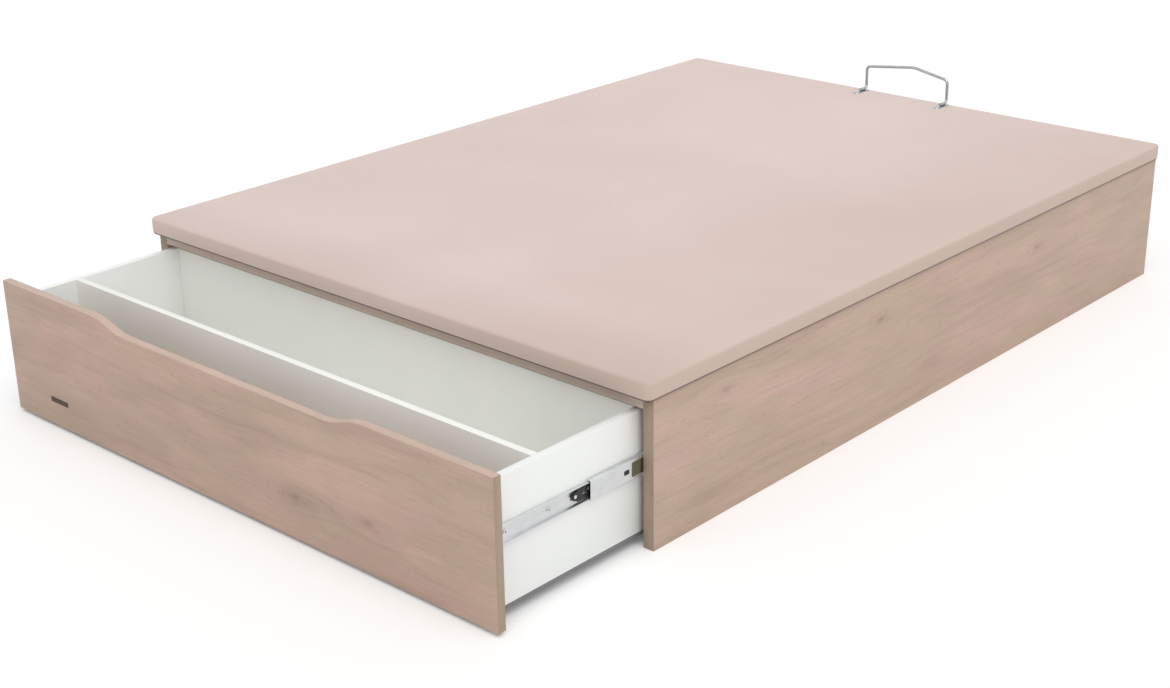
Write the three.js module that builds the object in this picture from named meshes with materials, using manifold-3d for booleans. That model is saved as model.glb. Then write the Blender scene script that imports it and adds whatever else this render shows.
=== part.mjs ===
// Lift-up storage bed base with a full-width drawer at the foot.
// Millimetres, +Z up, +X to the right of the drawer, +Y from the foot to the head end.
// The origin is on the floor, in the middle of the base with its drawer pulled out.
// The model is posed with the lid closed and the drawer fully open.
import * as THREE from 'three';
import { mergeVertices } from 'three/addons/utils/BufferGeometryUtils.js';
import Module from 'manifold-3d';

const wasm = await Module();
wasm.setup();

// Lid: steel frame, board and upholstery
const lid_width = 1500;
const lid_length = 2000;
const lid_corner_radius = 14;
const pad_thickness = 5;
const pad_square_edge = 0.5;
const border_square_edge = 1.5;
const lid_board_thickness = 5;
const lid_tube_width = 40;
const lid_tube_height = 30;
const lid_tube_wall = 1.5;
const cross_tube_width = 30;
const cross_tube_count = 4;
const lid_side_overhang = 6;
const lid_rear_overhang = 5;

// Carcass of melamine boards
const carcass_height = 310;
const side_panel_thickness = 25;
const head_panel_thickness = 25;
const partition_thickness = 16;
const rail_thickness = 16;
const foot_rail_thickness = 25;
const top_rail_width = 80;
const bottom_rail_width = 70;
const bottom_rail_setback = 60;
const floor_board_thickness = 10;
const cleat_height = 20;
const cleat_width = 22;
const floor_beam_width = 70;
const floor_board_gap = 2;
const corner_bracket_leg = 38;
const corner_bracket_wall = 2.5;
const corner_bracket_height = 190;
const corner_bracket_drop = 40;

// Drawer box and its overlaid front
const drawer_travel = 391;
const drawer_front_thickness = 19;
const drawer_front_side_gap = 2;
const drawer_front_floor_gap = 8;
const drawer_front_lid_gap = 3;
const drawer_closed_gap = 1;
const notch_depth = 22;
const notch_width = 850;
const notch_slope = 130;
const drawer_board_thickness = 16;
const drawer_side_bottom = 28;
const drawer_top_gap = 6;
const drawer_rear_gap = 8;
const drawer_depth = 416;
const drawer_bottom_thickness = 8;
const drawer_bottom_raise = 14;
const drawer_groove_depth = 7;
const groove_clearance = 0.3;
const divider_setback = 127;

// Telescopic ball-bearing slides
const slide_length = 400;
const slide_height = 45;
const slide_space = 13;
const slide_setback = 2;
const slide_centre_height = 172;
const slide_wall = 1.4;
const slide_flange_wall = 1.8;
const slide_running_gap = 0.5;
const slide_web_gap = 0.8;
const slide_lip_gap = 1.4;
const slide_bend_radius = 1.6;
const slide_screw_radius = 2.6;
const slide_screw_setback = 36;
const slide_screw_count = 4;
// Share of the drawer's travel that the slides' middle members run with it
const slide_middle_share = 0.37;
const ball_track_radius = 0.7;
const ball_track_inset = 7;
const release_lever_reach = 32;
const release_lever_thickness = 3.6;
const release_eye_radius = 8;
const release_pad_half_height = 12.5;
const release_shoulder_reach = 4;
const release_prong_length = 12;
const release_fork_half_height = 5.5;
const release_corner_radius = 3;
const release_pivot_radius = 2.2;
const release_pivot_clearance = 0.35;
const release_pivot_gap = 35;

// Lift mechanism: pivots by their distance from the head end and below the top of the carcass
const rear_base_pivot = new THREE.Vector2(383, -142);
const front_base_pivot = new THREE.Vector2(438, -76);
const rear_lid_pivot = new THREE.Vector2(122, -48);
const front_lid_pivot = new THREE.Vector2(156, -22);
const gas_base_pivot = new THREE.Vector2(700, -180);
const hinge_plate_thickness = 3;
const hinge_lobe_radius = 30;
const hinge_heel_radius = 26;
const hinge_heel_offset = new THREE.Vector2(20, 4);
const hinge_toe_radius = 24;
const hinge_screw_radius = 3.2;
const rear_arm_thickness = 5;
const rear_arm_half_width = 18;
const front_lever_thickness = 4.5;
const front_lever_half_width = 16;
const lever_boss_radius = 18;
const lever_tail_length = 110;
const lever_tail_half_width = 14;
const lever_gusset_radius = 8;
const lever_gusset_arm_reach = 63;
const lever_gusset_tail_reach = 50;
const lever_swing = THREE.MathUtils.degToRad(34.4);
const lid_bracket_thickness = 4;
const bracket_lobe_radius = 18;
const bracket_ear_radius = 12;
const lid_bolt_drop = 16;
const lid_bolt_first = -28;
const lid_bolt_pitch = 73;
const lid_bolt_count = 3;
const lid_bolt_radius = 7.5;
const lid_bolt_head = 5;
const layer_gap = 0.5;
const pivot_pin_radius = 6;
const lid_pin_radius = 5;
const pivot_clearance = 0.3;
// The levers' lid pivots and the springs' lever eyes have play, because the linkage's motion is
// slightly uneven there.
const open_pivot_play = 3.3;
const pin_head_radius = 11;
const rear_pin_head_radius = 10;
const pin_head_thickness = 2;
const sunk_head_depth = 2.8;
const sunk_head_drop = 0.2;
const gas_tube_radius = 10;
const gas_tube_wall = 1.5;
const gas_tube_length = 182;
const gas_tube_floor = 8;
const gas_tube_taper = 3;
const gas_rim_chamfer = 2;
const gas_rod_radius = 4;
const gas_stud_radius = 4;
const stud_shoulder_radius = 7;
const stud_head_radius = 8;
const gas_eye_radius = 11.5;
const gas_eye_width = 8;
const gas_eye_gap = 2;
const gas_axis_inset = 22;
const gas_rod_guide_length = 12;
const gas_tube_neck = 12;
const gas_rod_neck = 10;
const gas_collar_radius = 6;
const gas_collar_length = 14;
const gas_piston_length = 12;
const gas_spare_travel = 16;
// How far a pin or neck reaches into the piece that it is one with, and a cut past a face
const joined_depth = 1;
const cut_margin = 1;

// Mattress retainer of bent rod
const retainer_width = 260;
const retainer_leg_height = 68;
const retainer_crest = 20;
const retainer_crown_reach = 16;
const retainer_rod_radius = 4;
const retainer_bend_radius = 18;
const retainer_edge_setback = 12;
const retainer_tab_length = 62;
const retainer_tab_width = 20;
const retainer_tab_corner = 9;
const retainer_tab_thickness = 3;
const retainer_tab_sink = 1;
const retainer_pocket_clearance = 0.3;
const retainer_weld_width = 6.4;
const retainer_screw_radius = 3;
const retainer_screw_offset = 18.6;

// Sizes that follow from the ones above
const foot_overhang = drawer_front_thickness + drawer_closed_gap;
const carcass_width = lid_width - 2 * lid_side_overhang;
const carcass_length = lid_length - foot_overhang - lid_rear_overhang;
const lid_thickness = lid_tube_height + lid_board_thickness + pad_thickness;
const lid_top = carcass_height + lid_thickness;
const inner_half_width = carcass_width / 2 - side_panel_thickness;
const drawer_reach = drawer_closed_gap + drawer_travel + drawer_front_thickness;
const foot_plane = -(carcass_length + lid_rear_overhang - drawer_reach) / 2;
const head_plane = foot_plane + carcass_length;
const lid_foot_edge = foot_plane - foot_overhang;
const lid_head_edge = head_plane + lid_rear_overhang;
const bay_depth = Math.max(drawer_depth, slide_length) + slide_setback + drawer_rear_gap;
const partition_front = foot_plane + bay_depth;
const store_front = partition_front + partition_thickness;
const store_back = head_plane - head_panel_thickness;
const drawer_front_back_face = foot_plane - drawer_closed_gap - drawer_travel;
const drawer_half_width = inner_half_width - slide_space;
const drawer_side_top = carcass_height - foot_rail_thickness - drawer_top_gap;
const drawer_side_height = drawer_side_top - drawer_side_bottom;

const oak = { color: 0xc3ab9b, roughness: 0.62, metalness: 0 };
const white_board = { color: 0xeceeed, roughness: 0.5, metalness: 0 };
const fabric = { color: 0xdccbc2, roughness: 0.95, metalness: 0 };
const hardboard = { color: 0x8a6b4c, roughness: 0.85, metalness: 0 };
const painted_steel = { color: 0x3a3b3d, roughness: 0.5, metalness: 0.4 };
const zinc = { color: 0xb4b7ba, roughness: 0.35, metalness: 0.9 };
const bright_steel = { color: 0xd4d6d8, roughness: 0.2, metalness: 1 };
const black_plastic = { color: 0x17181a, roughness: 0.55, metalness: 0 };

function part(name, geometry, finish) {
  const mesh = new THREE.Mesh(geometry, new THREE.MeshStandardMaterial(finish));
  mesh.name = name;
  return mesh;
}

function at(object, x, y, z) {
  object.position.set(x, y, z);
  return object;
}

// A copy with its positions alone, where neighbouring triangles share their vertices
function welded(geometry) {
  const bare = geometry.clone();
  bare.deleteAttribute('normal');
  bare.deleteAttribute('uv');
  return mergeVertices(bare, 1e-3);
}

// A closed geometry as a solid that can be joined and cut
function solid(geometry) {
  const closed = welded(geometry);
  const vertProperties = new Float32Array(closed.attributes.position.array);
  const triVerts = new Uint32Array(closed.index.array);
  return new wasm.Manifold(new wasm.Mesh({ numProp: 3, vertProperties, triVerts }));
}

function geometryOf(body) {
  const mesh = body.getMesh();
  const geometry = new THREE.BufferGeometry();
  const positions = new Float32Array(mesh.vertProperties);
  geometry.setAttribute('position', new THREE.BufferAttribute(positions, 3));
  geometry.setIndex(new THREE.BufferAttribute(new Uint32Array(mesh.triVerts), 1));
  geometry.computeVertexNormals();
  return geometry;
}

function mirrored(geometry) {
  const copy = welded(geometry);
  copy.scale(-1, 1, 1);
  const index = copy.index.array;
  for (let i = 0; i < index.length; i += 3) {
    const keep = index[i + 1];
    index[i + 1] = index[i + 2];
    index[i + 2] = keep;
  }
  copy.computeVertexNormals();
  return copy;
}

// A box from its lowest to its highest corner
function block(low, high) {
  const size = high.map((value, i) => value - low[i]);
  const geometry = new THREE.BoxGeometry(...size);
  return geometry.translate(...low.map((value, i) => value + size[i] / 2));
}

// The board between two corners, as a mesh placed at its centre
function board(name, low, high, finish) {
  const size = high.map((value, i) => value - low[i]);
  const mesh = part(name, new THREE.BoxGeometry(...size), finish);
  return at(mesh, ...low.map((value, i) => value + size[i] / 2));
}

// A rectangular tube along Y, open at both ends, centred on its axis
function tubeAlongY(width, height, wall, length) {
  const outline = new THREE.Shape();
  rectangle(outline, width, height);
  const hole = new THREE.Path();
  rectangle(hole, width - 2 * wall, height - 2 * wall);
  outline.holes.push(hole);
  const geometry = new THREE.ExtrudeGeometry(outline, { depth: length, bevelEnabled: false });
  return geometry.translate(0, 0, -length / 2).rotateX(Math.PI / 2);
}

function rectangle(path, width, height) {
  path.moveTo(-width / 2, -height / 2);
  path.lineTo(width / 2, -height / 2);
  path.lineTo(width / 2, height / 2);
  path.lineTo(-width / 2, height / 2);
  path.closePath();
}

function roundedRectangle(width, length, radius) {
  const shape = new THREE.Shape();
  const x = width / 2 - radius;
  const y = length / 2 - radius;
  shape.absarc(x, y, radius, 0, Math.PI / 2);
  shape.absarc(-x, y, radius, Math.PI / 2, Math.PI);
  shape.absarc(-x, -y, radius, Math.PI, Math.PI * 1.5);
  shape.absarc(x, -y, radius, Math.PI * 1.5, Math.PI * 2);
  shape.closePath();
  return shape;
}

// A cylinder along X from one x to another
function pinAlongX(radius, from, to, y = 0, z = 0, sides = 20) {
  const geometry = new THREE.CylinderGeometry(radius, radius, Math.abs(to - from), sides);
  return geometry.rotateZ(Math.PI / 2).translate((from + to) / 2, y, z);
}

// The outline that a belt would take round a set of discs, each given as x, y and radius
function beltOutline(discs, sides = 24) {
  const points = [];
  for (const [x, y, radius] of discs) {
    for (let i = 0; i < sides; i += 1) {
      const angle = (i / sides) * Math.PI * 2;
      points.push(new THREE.Vector2(x + radius * Math.cos(angle), y + radius * Math.sin(angle)));
    }
  }
  points.sort((a, b) => a.x - b.x || a.y - b.y);
  const turn = (a, b, c) => (b.x - a.x) * (c.y - a.y) - (b.y - a.y) * (c.x - a.x);
  const chain = (ordered) => {
    const kept = [];
    for (const point of ordered) {
      while (kept.length > 1 && turn(kept[kept.length - 2], kept[kept.length - 1], point) <= 1e-6) {
        kept.pop();
      }
      kept.push(point);
    }
    kept.pop();
    return kept;
  };
  return new THREE.Shape([...chain(points), ...chain([...points].reverse())]);
}

// A flat plate on the right-hand side of the bed. Its outline is drawn with the distance towards
// the foot as x and the height as y, and it lies between two insets from the side panel.
function sidePlate(shape, inset, thickness) {
  const settings = { depth: thickness, bevelEnabled: false, curveSegments: 10 };
  const geometry = new THREE.ExtrudeGeometry(shape, settings);
  const frame = new THREE.Matrix4().makeBasis(
    new THREE.Vector3(0, -1, 0),
    new THREE.Vector3(0, 0, 1),
    new THREE.Vector3(-1, 0, 0),
  );
  return geometry.applyMatrix4(frame).translate(-inset, 0, 0);
}

function roundHole(x, y, radius) {
  const hole = new THREE.Path();
  hole.absarc(x, y, radius, 0, Math.PI * 2, true);
  return hole;
}

function sideName(name, side) {
  return `${name}_${side > 0 ? 'right' : 'left'}`;
}

function forSide(geometry, side) {
  return side > 0 ? geometry : mirrored(geometry);
}

// Carcass boards

function sidePanel(side) {
  const outer = (side * carcass_width) / 2;
  const inner = side * inner_half_width;
  const low = [Math.min(outer, inner), foot_plane, 0];
  const high = [Math.max(outer, inner), head_plane, carcass_height];
  return board(sideName('side_panel', side), low, high, oak);
}

function headPanel() {
  const low = [-inner_half_width, store_back, 0];
  return board('head_panel', low, [inner_half_width, head_plane, carcass_height], oak);
}

function bayPartition() {
  const low = [-inner_half_width, partition_front, 0];
  const high = [inner_half_width, store_front, carcass_height - rail_thickness];
  return board('drawer_bay_partition', low, high, white_board);
}

function footTopRail() {
  const low = [-inner_half_width, foot_plane, carcass_height - foot_rail_thickness];
  const high = [inner_half_width, foot_plane + top_rail_width, carcass_height];
  return board('foot_top_rail', low, high, white_board);
}

function partitionTopRail() {
  const low = [-inner_half_width, store_front - top_rail_width, carcass_height - rail_thickness];
  return board('partition_top_rail', low, [inner_half_width, store_front, carcass_height], oak);
}

function footBottomRail() {
  const front = foot_plane + bottom_rail_setback;
  const low = [-inner_half_width, front, 0];
  const high = [inner_half_width, front + bottom_rail_width, rail_thickness];
  return board('foot_bottom_rail', low, high, oak);
}

function floorCleat(side) {
  const outer = side * inner_half_width;
  const inner = outer - side * cleat_width;
  const low = [Math.min(outer, inner), store_front, 0];
  const high = [Math.max(outer, inner), store_back, cleat_height];
  return board(sideName('floor_cleat', side), low, high, hardboard);
}

function floorBeam() {
  const low = [-floor_beam_width / 2, store_front, 0];
  return board('floor_beam', low, [floor_beam_width / 2, store_back, cleat_height], hardboard);
}

function floorBoard(side) {
  const outer = side * inner_half_width;
  const inner = (side * floor_board_gap) / 2;
  const low = [Math.min(outer, inner), store_front, cleat_height];
  const high = [Math.max(outer, inner), store_back, cleat_height + floor_board_thickness];
  return board(sideName('floor_board', side), low, high, white_board);
}

// A steel angle in each upright corner of the storage compartment
function cornerBracket(side, end) {
  const shape = new THREE.Shape();
  shape.moveTo(0, 0);
  shape.lineTo(corner_bracket_leg, 0);
  shape.lineTo(corner_bracket_leg, corner_bracket_wall);
  shape.lineTo(corner_bracket_wall, corner_bracket_wall);
  shape.lineTo(corner_bracket_wall, corner_bracket_leg);
  shape.lineTo(0, corner_bracket_leg);
  shape.closePath();
  const settings = { depth: corner_bracket_height, bevelEnabled: false };
  const geometry = new THREE.ExtrudeGeometry(shape, settings);
  const name = sideName(end > 0 ? 'corner_bracket_head' : 'corner_bracket_foot', side);
  const mesh = part(name, geometry, zinc);
  mesh.rotation.z = Math.atan2(-end, -side) - Math.PI / 4;
  const y = end > 0 ? store_back : store_front;
  const z = carcass_height - corner_bracket_drop - corner_bracket_height;
  return at(mesh, side * inner_half_width, y, z);
}

// Lid

const frame_half_width = lid_width / 2 - pad_thickness;
const frame_foot = lid_foot_edge + pad_thickness;
const frame_head = lid_head_edge - pad_thickness;
const frame_length = frame_head - frame_foot;
const tube_centre_height = carcass_height + lid_tube_height / 2;
// Distance of the retainer's rod from the middle of the lid
const retainer_line = lid_length / 2 - retainer_edge_setback;

function lidSideTube(side) {
  const geometry = tubeAlongY(lid_tube_width, lid_tube_height, lid_tube_wall, frame_length);
  const mesh = part(sideName('lid_side_tube', side), geometry, painted_steel);
  const x = side * (frame_half_width - lid_tube_width / 2);
  return at(mesh, x, (frame_foot + frame_head) / 2, tube_centre_height);
}

function lidCrossMember(name, y, width) {
  const length = 2 * (frame_half_width - lid_tube_width);
  const geometry = tubeAlongY(width, lid_tube_height, lid_tube_wall, length);
  const mesh = part(name, geometry, painted_steel);
  mesh.rotation.z = Math.PI / 2;
  return at(mesh, 0, y, tube_centre_height);
}

function lidCrossMembers() {
  const foot = lidCrossMember('lid_foot_tube', frame_foot + lid_tube_width / 2, lid_tube_width);
  const head = lidCrossMember('lid_head_tube', frame_head - lid_tube_width / 2, lid_tube_width);
  const members = [foot, head];
  for (let i = 1; i <= cross_tube_count; i += 1) {
    const y = frame_foot + (frame_length * i) / (cross_tube_count + 1);
    members.push(lidCrossMember(`lid_cross_tube_${i}`, y, cross_tube_width));
  }
  return members;
}

function lidBoard() {
  const low = [-frame_half_width, frame_foot, carcass_height + lid_tube_height];
  const high = [frame_half_width, frame_head, low[2] + lid_board_thickness];
  return board('lid_board', low, high, hardboard);
}

// Padded top with rounded corners, a rounded upper edge and the shallow pockets that the
// mattress retainer's tabs press into it
function lidTopPad() {
  const rounding = pad_thickness - pad_square_edge;
  const shape = roundedRectangle(
    lid_width - 2 * rounding,
    lid_length - 2 * rounding,
    lid_corner_radius - rounding,
  );
  const settings = {
    depth: pad_thickness,
    bevelThickness: rounding,
    bevelSize: rounding,
    bevelSegments: 4,
    curveSegments: 6,
  };
  const swollen = new THREE.ExtrudeGeometry(shape, settings);
  swollen.translate(0, 0, -rounding - pad_thickness);
  const low = [-lid_width, -lid_length, -pad_thickness];
  const space = block(low, [lid_width, lid_length, pad_thickness]);
  let body = solid(swollen).intersect(solid(space));
  for (const side of [-1, 1]) {
    const pocket = tabPlate(side, retainer_pocket_clearance, retainer_tab_sink + cut_margin, []);
    body = body.subtract(solid(pocket.translate(0, retainer_line, -retainer_tab_sink)));
  }
  const mesh = part('lid_top_pad', geometryOf(body), fabric);
  return at(mesh, 0, (lid_foot_edge + lid_head_edge) / 2, lid_top);
}

// The upholstered edge hangs round the steel frame. Its lower outer edge is rounded.
function borderStrip(length) {
  const height = lid_tube_height + lid_board_thickness;
  const radius = pad_thickness - border_square_edge;
  const shape = new THREE.Shape();
  shape.moveTo(0, 0);
  shape.lineTo(pad_thickness - radius, 0);
  shape.absarc(pad_thickness - radius, radius, radius, -Math.PI / 2, 0);
  shape.lineTo(pad_thickness, height);
  shape.lineTo(0, height);
  shape.closePath();
  const settings = { depth: length, bevelEnabled: false, curveSegments: 5 };
  const geometry = new THREE.ExtrudeGeometry(shape, settings);
  return geometry.translate(0, 0, -length / 2).rotateX(Math.PI / 2);
}

function lidSideBorder(side) {
  const mesh = part(sideName('lid_border', side), borderStrip(frame_length), fabric);
  mesh.rotation.z = side > 0 ? 0 : Math.PI;
  return at(mesh, side * frame_half_width, (frame_foot + frame_head) / 2, carcass_height);
}

function lidEndBorder(name, end) {
  const mesh = part(name, borderStrip(2 * frame_half_width), fabric);
  mesh.rotation.z = (end * Math.PI) / 2;
  return at(mesh, 0, end > 0 ? frame_head : frame_foot, carcass_height);
}

// Bent rod that keeps the mattress from sliding, screwed to the lid through two flat tabs
function retainerPath() {
  const half = retainer_width / 2;
  const bend = retainer_bend_radius;
  const foot = -retainer_tab_length / 2;
  const low = retainer_tab_thickness + retainer_rod_radius;
  const top = retainer_leg_height;
  const slope = retainer_crest / half;
  const shoulder = top + bend * slope;
  const crown = top + retainer_crest;
  const reach = retainer_crown_reach;
  const point = (x, y, z) => new THREE.Vector3(x, y, z);
  const crownSide = (s) => point(s * reach, 0, crown - reach * slope);
  const path = new THREE.CurvePath();
  const legSide = (s) => [
    point(s * half, foot, low),
    point(s * half, -bend, low),
    point(s * half, 0, low),
    point(s * half, 0, low + bend),
    point(s * half, 0, top - bend),
    point(s * half, 0, top),
    point(s * (half - bend), 0, shoulder),
  ];
  const left = legSide(-1);
  const right = legSide(1);
  path.add(new THREE.LineCurve3(left[0], left[1]));
  path.add(new THREE.QuadraticBezierCurve3(left[1], left[2], left[3]));
  path.add(new THREE.LineCurve3(left[3], left[4]));
  path.add(new THREE.QuadraticBezierCurve3(left[4], left[5], left[6]));
  path.add(new THREE.LineCurve3(left[6], crownSide(-1)));
  path.add(new THREE.QuadraticBezierCurve3(crownSide(-1), point(0, 0, crown), crownSide(1)));
  path.add(new THREE.LineCurve3(crownSide(1), right[6]));
  path.add(new THREE.QuadraticBezierCurve3(right[6], right[5], right[4]));
  path.add(new THREE.LineCurve3(right[4], right[3]));
  path.add(new THREE.QuadraticBezierCurve3(right[3], right[2], right[1]));
  path.add(new THREE.LineCurve3(right[1], right[0]));
  return path;
}

// Outline plate of one tab with a spare width all round
function tabPlate(side, spare, thickness, holes) {
  const outline = roundedRectangle(
    retainer_tab_width + 2 * spare,
    retainer_tab_length + 2 * spare,
    retainer_tab_corner + spare,
  );
  outline.holes.push(...holes);
  const settings = { depth: thickness, bevelEnabled: false, curveSegments: 6 };
  const plate = new THREE.ExtrudeGeometry(outline, settings);
  const y = retainer_rod_radius - retainer_tab_length / 2;
  return plate.translate((side * retainer_width) / 2, y, 0);
}

function mattressRetainer() {
  const section = new THREE.Shape();
  section.absarc(0, 0, retainer_rod_radius, 0, Math.PI * 2);
  const settings = { steps: 64, curveSegments: 4, extrudePath: retainerPath() };
  let body = solid(new THREE.ExtrudeGeometry(section, settings));
  const weld = retainer_weld_width / 2;
  for (const side of [-1, 1]) {
    const x = (side * retainer_width) / 2;
    const low = [x - weld, -retainer_tab_length / 2, retainer_tab_thickness / 2];
    const high = [x + weld, 0, retainer_tab_thickness + retainer_rod_radius];
    const screw_hole = roundHole(0, -retainer_screw_offset, retainer_screw_radius);
    const tab = tabPlate(side, 0, retainer_tab_thickness, [screw_hole]);
    body = body.add(solid(tab)).add(solid(block(low, high)));
  }
  const mesh = part('mattress_retainer', geometryOf(body), bright_steel);
  const middle = (lid_foot_edge + lid_head_edge) / 2;
  return at(mesh, 0, middle + retainer_line, lid_top - retainer_tab_sink);
}

// Lift mechanism. Each side has its plates in layers, told by their inset from the side panel.

const rear_arm_inset = hinge_plate_thickness + layer_gap;
const rear_arm_face = rear_arm_inset + rear_arm_thickness;
const front_lever_inset = rear_arm_face + layer_gap;
const lid_bracket_inset = inner_half_width - (frame_half_width - lid_tube_width);
const gas_eye_start = gas_axis_inset - gas_eye_width / 2;
const gas_eye_end = gas_axis_inset + gas_eye_width / 2;
const gas_lever_pivot = front_base_pivot.clone().add(new THREE.Vector2(0, -lever_tail_length));

// The point on the right side panel's inner face that a pivot's two numbers mean
function pivotPlace(pivot, side) {
  const y = head_plane - pivot.x;
  return [side * inner_half_width, y, carcass_height + pivot.y];
}

// A cylinder square to the side panel, between two insets from it. Its place is given in a
// plate's own terms, the distance towards the foot and the height.
function crossPin(x, y, radius, start, end, sides = 20) {
  return solid(pinAlongX(radius, -start, -end, -x, y, sides));
}

// A pin of the mechanism at a pivot, in a piece whose own origin is another pivot
function pinAt(pivot, origin, radius, start, end) {
  return crossPin(pivot.x - origin.x, pivot.y - origin.y, radius, start, end);
}

// A pin from its root in a plate to a round head that starts at another inset
function headedPin(pivot, origin, radius, head_radius, root, head) {
  const way = Math.sign(head - root);
  const shank = pinAt(pivot, origin, radius, root, head + way * joined_depth);
  const end = head + way * pin_head_thickness;
  return shank.add(pinAt(pivot, origin, head_radius, head, end));
}

// Shouldered stud that an eye of the gas spring turns on
function gasStud(pivot, origin, root) {
  const head = gas_eye_end + pivot_clearance;
  const stud = headedPin(pivot, origin, gas_stud_radius, stud_head_radius, root, head);
  const shoulder = gas_eye_start - pivot_clearance;
  return stud.add(pinAt(pivot, origin, stud_shoulder_radius, root, shoulder));
}

// The flared end of a rivet that finishes flush with the arm it holds
function countersunkHead(radius, start, end) {
  const flare = radius + (end - start);
  const cone = new THREE.CylinderGeometry(radius, flare, end - start, 24);
  return solid(cone.rotateZ(-Math.PI / 2).translate(-(start + end) / 2, 0, 0));
}

// Stamped plate on the side panel, with the two arm pivots and the spring's stud riveted to it
function hingePlate(side) {
  const origin = rear_base_pivot;
  const local = (pivot) => [pivot.x - origin.x, pivot.y - origin.y];
  const heel = gas_lever_pivot.clone().add(hinge_heel_offset);
  const lobe = beltOutline([
    [...local(rear_base_pivot), hinge_lobe_radius],
    [...local(front_base_pivot), hinge_lobe_radius],
    [...local(heel), hinge_heel_radius],
  ]);
  const strip = beltOutline([
    [...local(heel), hinge_heel_radius],
    [...local(gas_base_pivot), hinge_toe_radius],
  ]);
  let body = solid(sidePlate(lobe, 0, hinge_plate_thickness));
  body = body.add(solid(sidePlate(strip, 0, hinge_plate_thickness)));
  for (const place of hingeScrews()) {
    const [x, y] = local(place);
    const end = hinge_plate_thickness + cut_margin;
    body = body.subtract(crossPin(x, y, hinge_screw_radius, -cut_margin, end, 16));
  }
  const root = hinge_plate_thickness / 2;
  const sunk_end = rear_arm_face - sunk_head_drop;
  const sunk_start = sunk_end - sunk_head_depth;
  const rear_pin = pinAt(rear_base_pivot, origin, pivot_pin_radius, root, sunk_start + joined_depth);
  const head = front_lever_inset + front_lever_thickness + pivot_clearance;
  const front_pin = headedPin(
    front_base_pivot,
    origin,
    pivot_pin_radius,
    pin_head_radius,
    root,
    head,
  );
  body = body.add(rear_pin).add(countersunkHead(pivot_pin_radius, sunk_start, sunk_end));
  body = body.add(front_pin).add(gasStud(gas_base_pivot, origin, root));
  const mesh = part(sideName('hinge_plate', side), forSide(geometryOf(body), side), zinc);
  return at(mesh, ...pivotPlace(origin, side));
}

// Where the hinge plate is screwed to the side panel: two screws in its strip, one in its heel
// and one in its lobe
function hingeScrews() {
  return [
    gas_base_pivot.clone().add(new THREE.Vector2(-40, 0)),
    gas_base_pivot.clone().add(new THREE.Vector2(-120, -2)),
    gas_lever_pivot.clone().add(new THREE.Vector2(24, -4)),
    front_base_pivot.clone().add(new THREE.Vector2(-16, 16)),
  ];
}

function rearArm(side) {
  const tip = rear_lid_pivot.clone().sub(rear_base_pivot);
  const outline = beltOutline([
    [0, 0, rear_arm_half_width],
    [tip.x, tip.y, rear_arm_half_width],
  ]);
  const bore = pivot_pin_radius + pivot_clearance;
  outline.holes.push(roundHole(0, 0, bore), roundHole(tip.x, tip.y, bore));
  const plate = solid(sidePlate(outline, rear_arm_inset, rear_arm_thickness));
  const sink_start = rear_arm_face - sunk_head_drop - sunk_head_depth - pivot_clearance;
  const sink = countersunkHead(bore, sink_start, rear_arm_face + cut_margin);
  const geometry = geometryOf(plate.subtract(sink));
  const mesh = part(sideName('rear_arm', side), forSide(geometry, side), zinc);
  return at(mesh, ...pivotPlace(rear_base_pivot, side));
}

// Bell-crank lever: one arm carries the lid, the gas spring pushes the other
function frontLever(side) {
  const origin = front_base_pivot;
  const tip = front_lid_pivot.clone().sub(origin);
  const tail = gas_lever_pivot.clone().sub(origin);
  const arm_reach = tip.clone().setLength(lever_gusset_arm_reach);
  const tail_reach = tail.clone().setLength(lever_gusset_tail_reach);
  const outlines = [
    beltOutline([
      [0, 0, lever_boss_radius],
      [tip.x, tip.y, front_lever_half_width],
    ]),
    beltOutline([
      [0, 0, lever_boss_radius],
      [tail.x, tail.y, lever_tail_half_width],
    ]),
    beltOutline([
      [0, 0, lever_gusset_radius],
      [arm_reach.x, arm_reach.y, lever_gusset_radius],
      [tail_reach.x, tail_reach.y, lever_gusset_radius],
    ]),
  ];
  const plates = outlines.map((outline) => {
    return solid(sidePlate(outline, front_lever_inset, front_lever_thickness));
  });
  let body = plates[0].add(plates[1]).add(plates[2]);
  const start = front_lever_inset - cut_margin;
  const end = front_lever_inset + front_lever_thickness + cut_margin;
  body = body.subtract(crossPin(0, 0, pivot_pin_radius + pivot_clearance, start, end));
  body = body.subtract(crossPin(tip.x, tip.y, lid_pin_radius + open_pivot_play, start, end));
  const root = front_lever_inset + front_lever_thickness / 2;
  body = body.add(gasStud(gas_lever_pivot, origin, root));
  const mesh = part(sideName('front_lever', side), forSide(geometryOf(body), side), zinc);
  return at(mesh, ...pivotPlace(origin, side));
}

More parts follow.
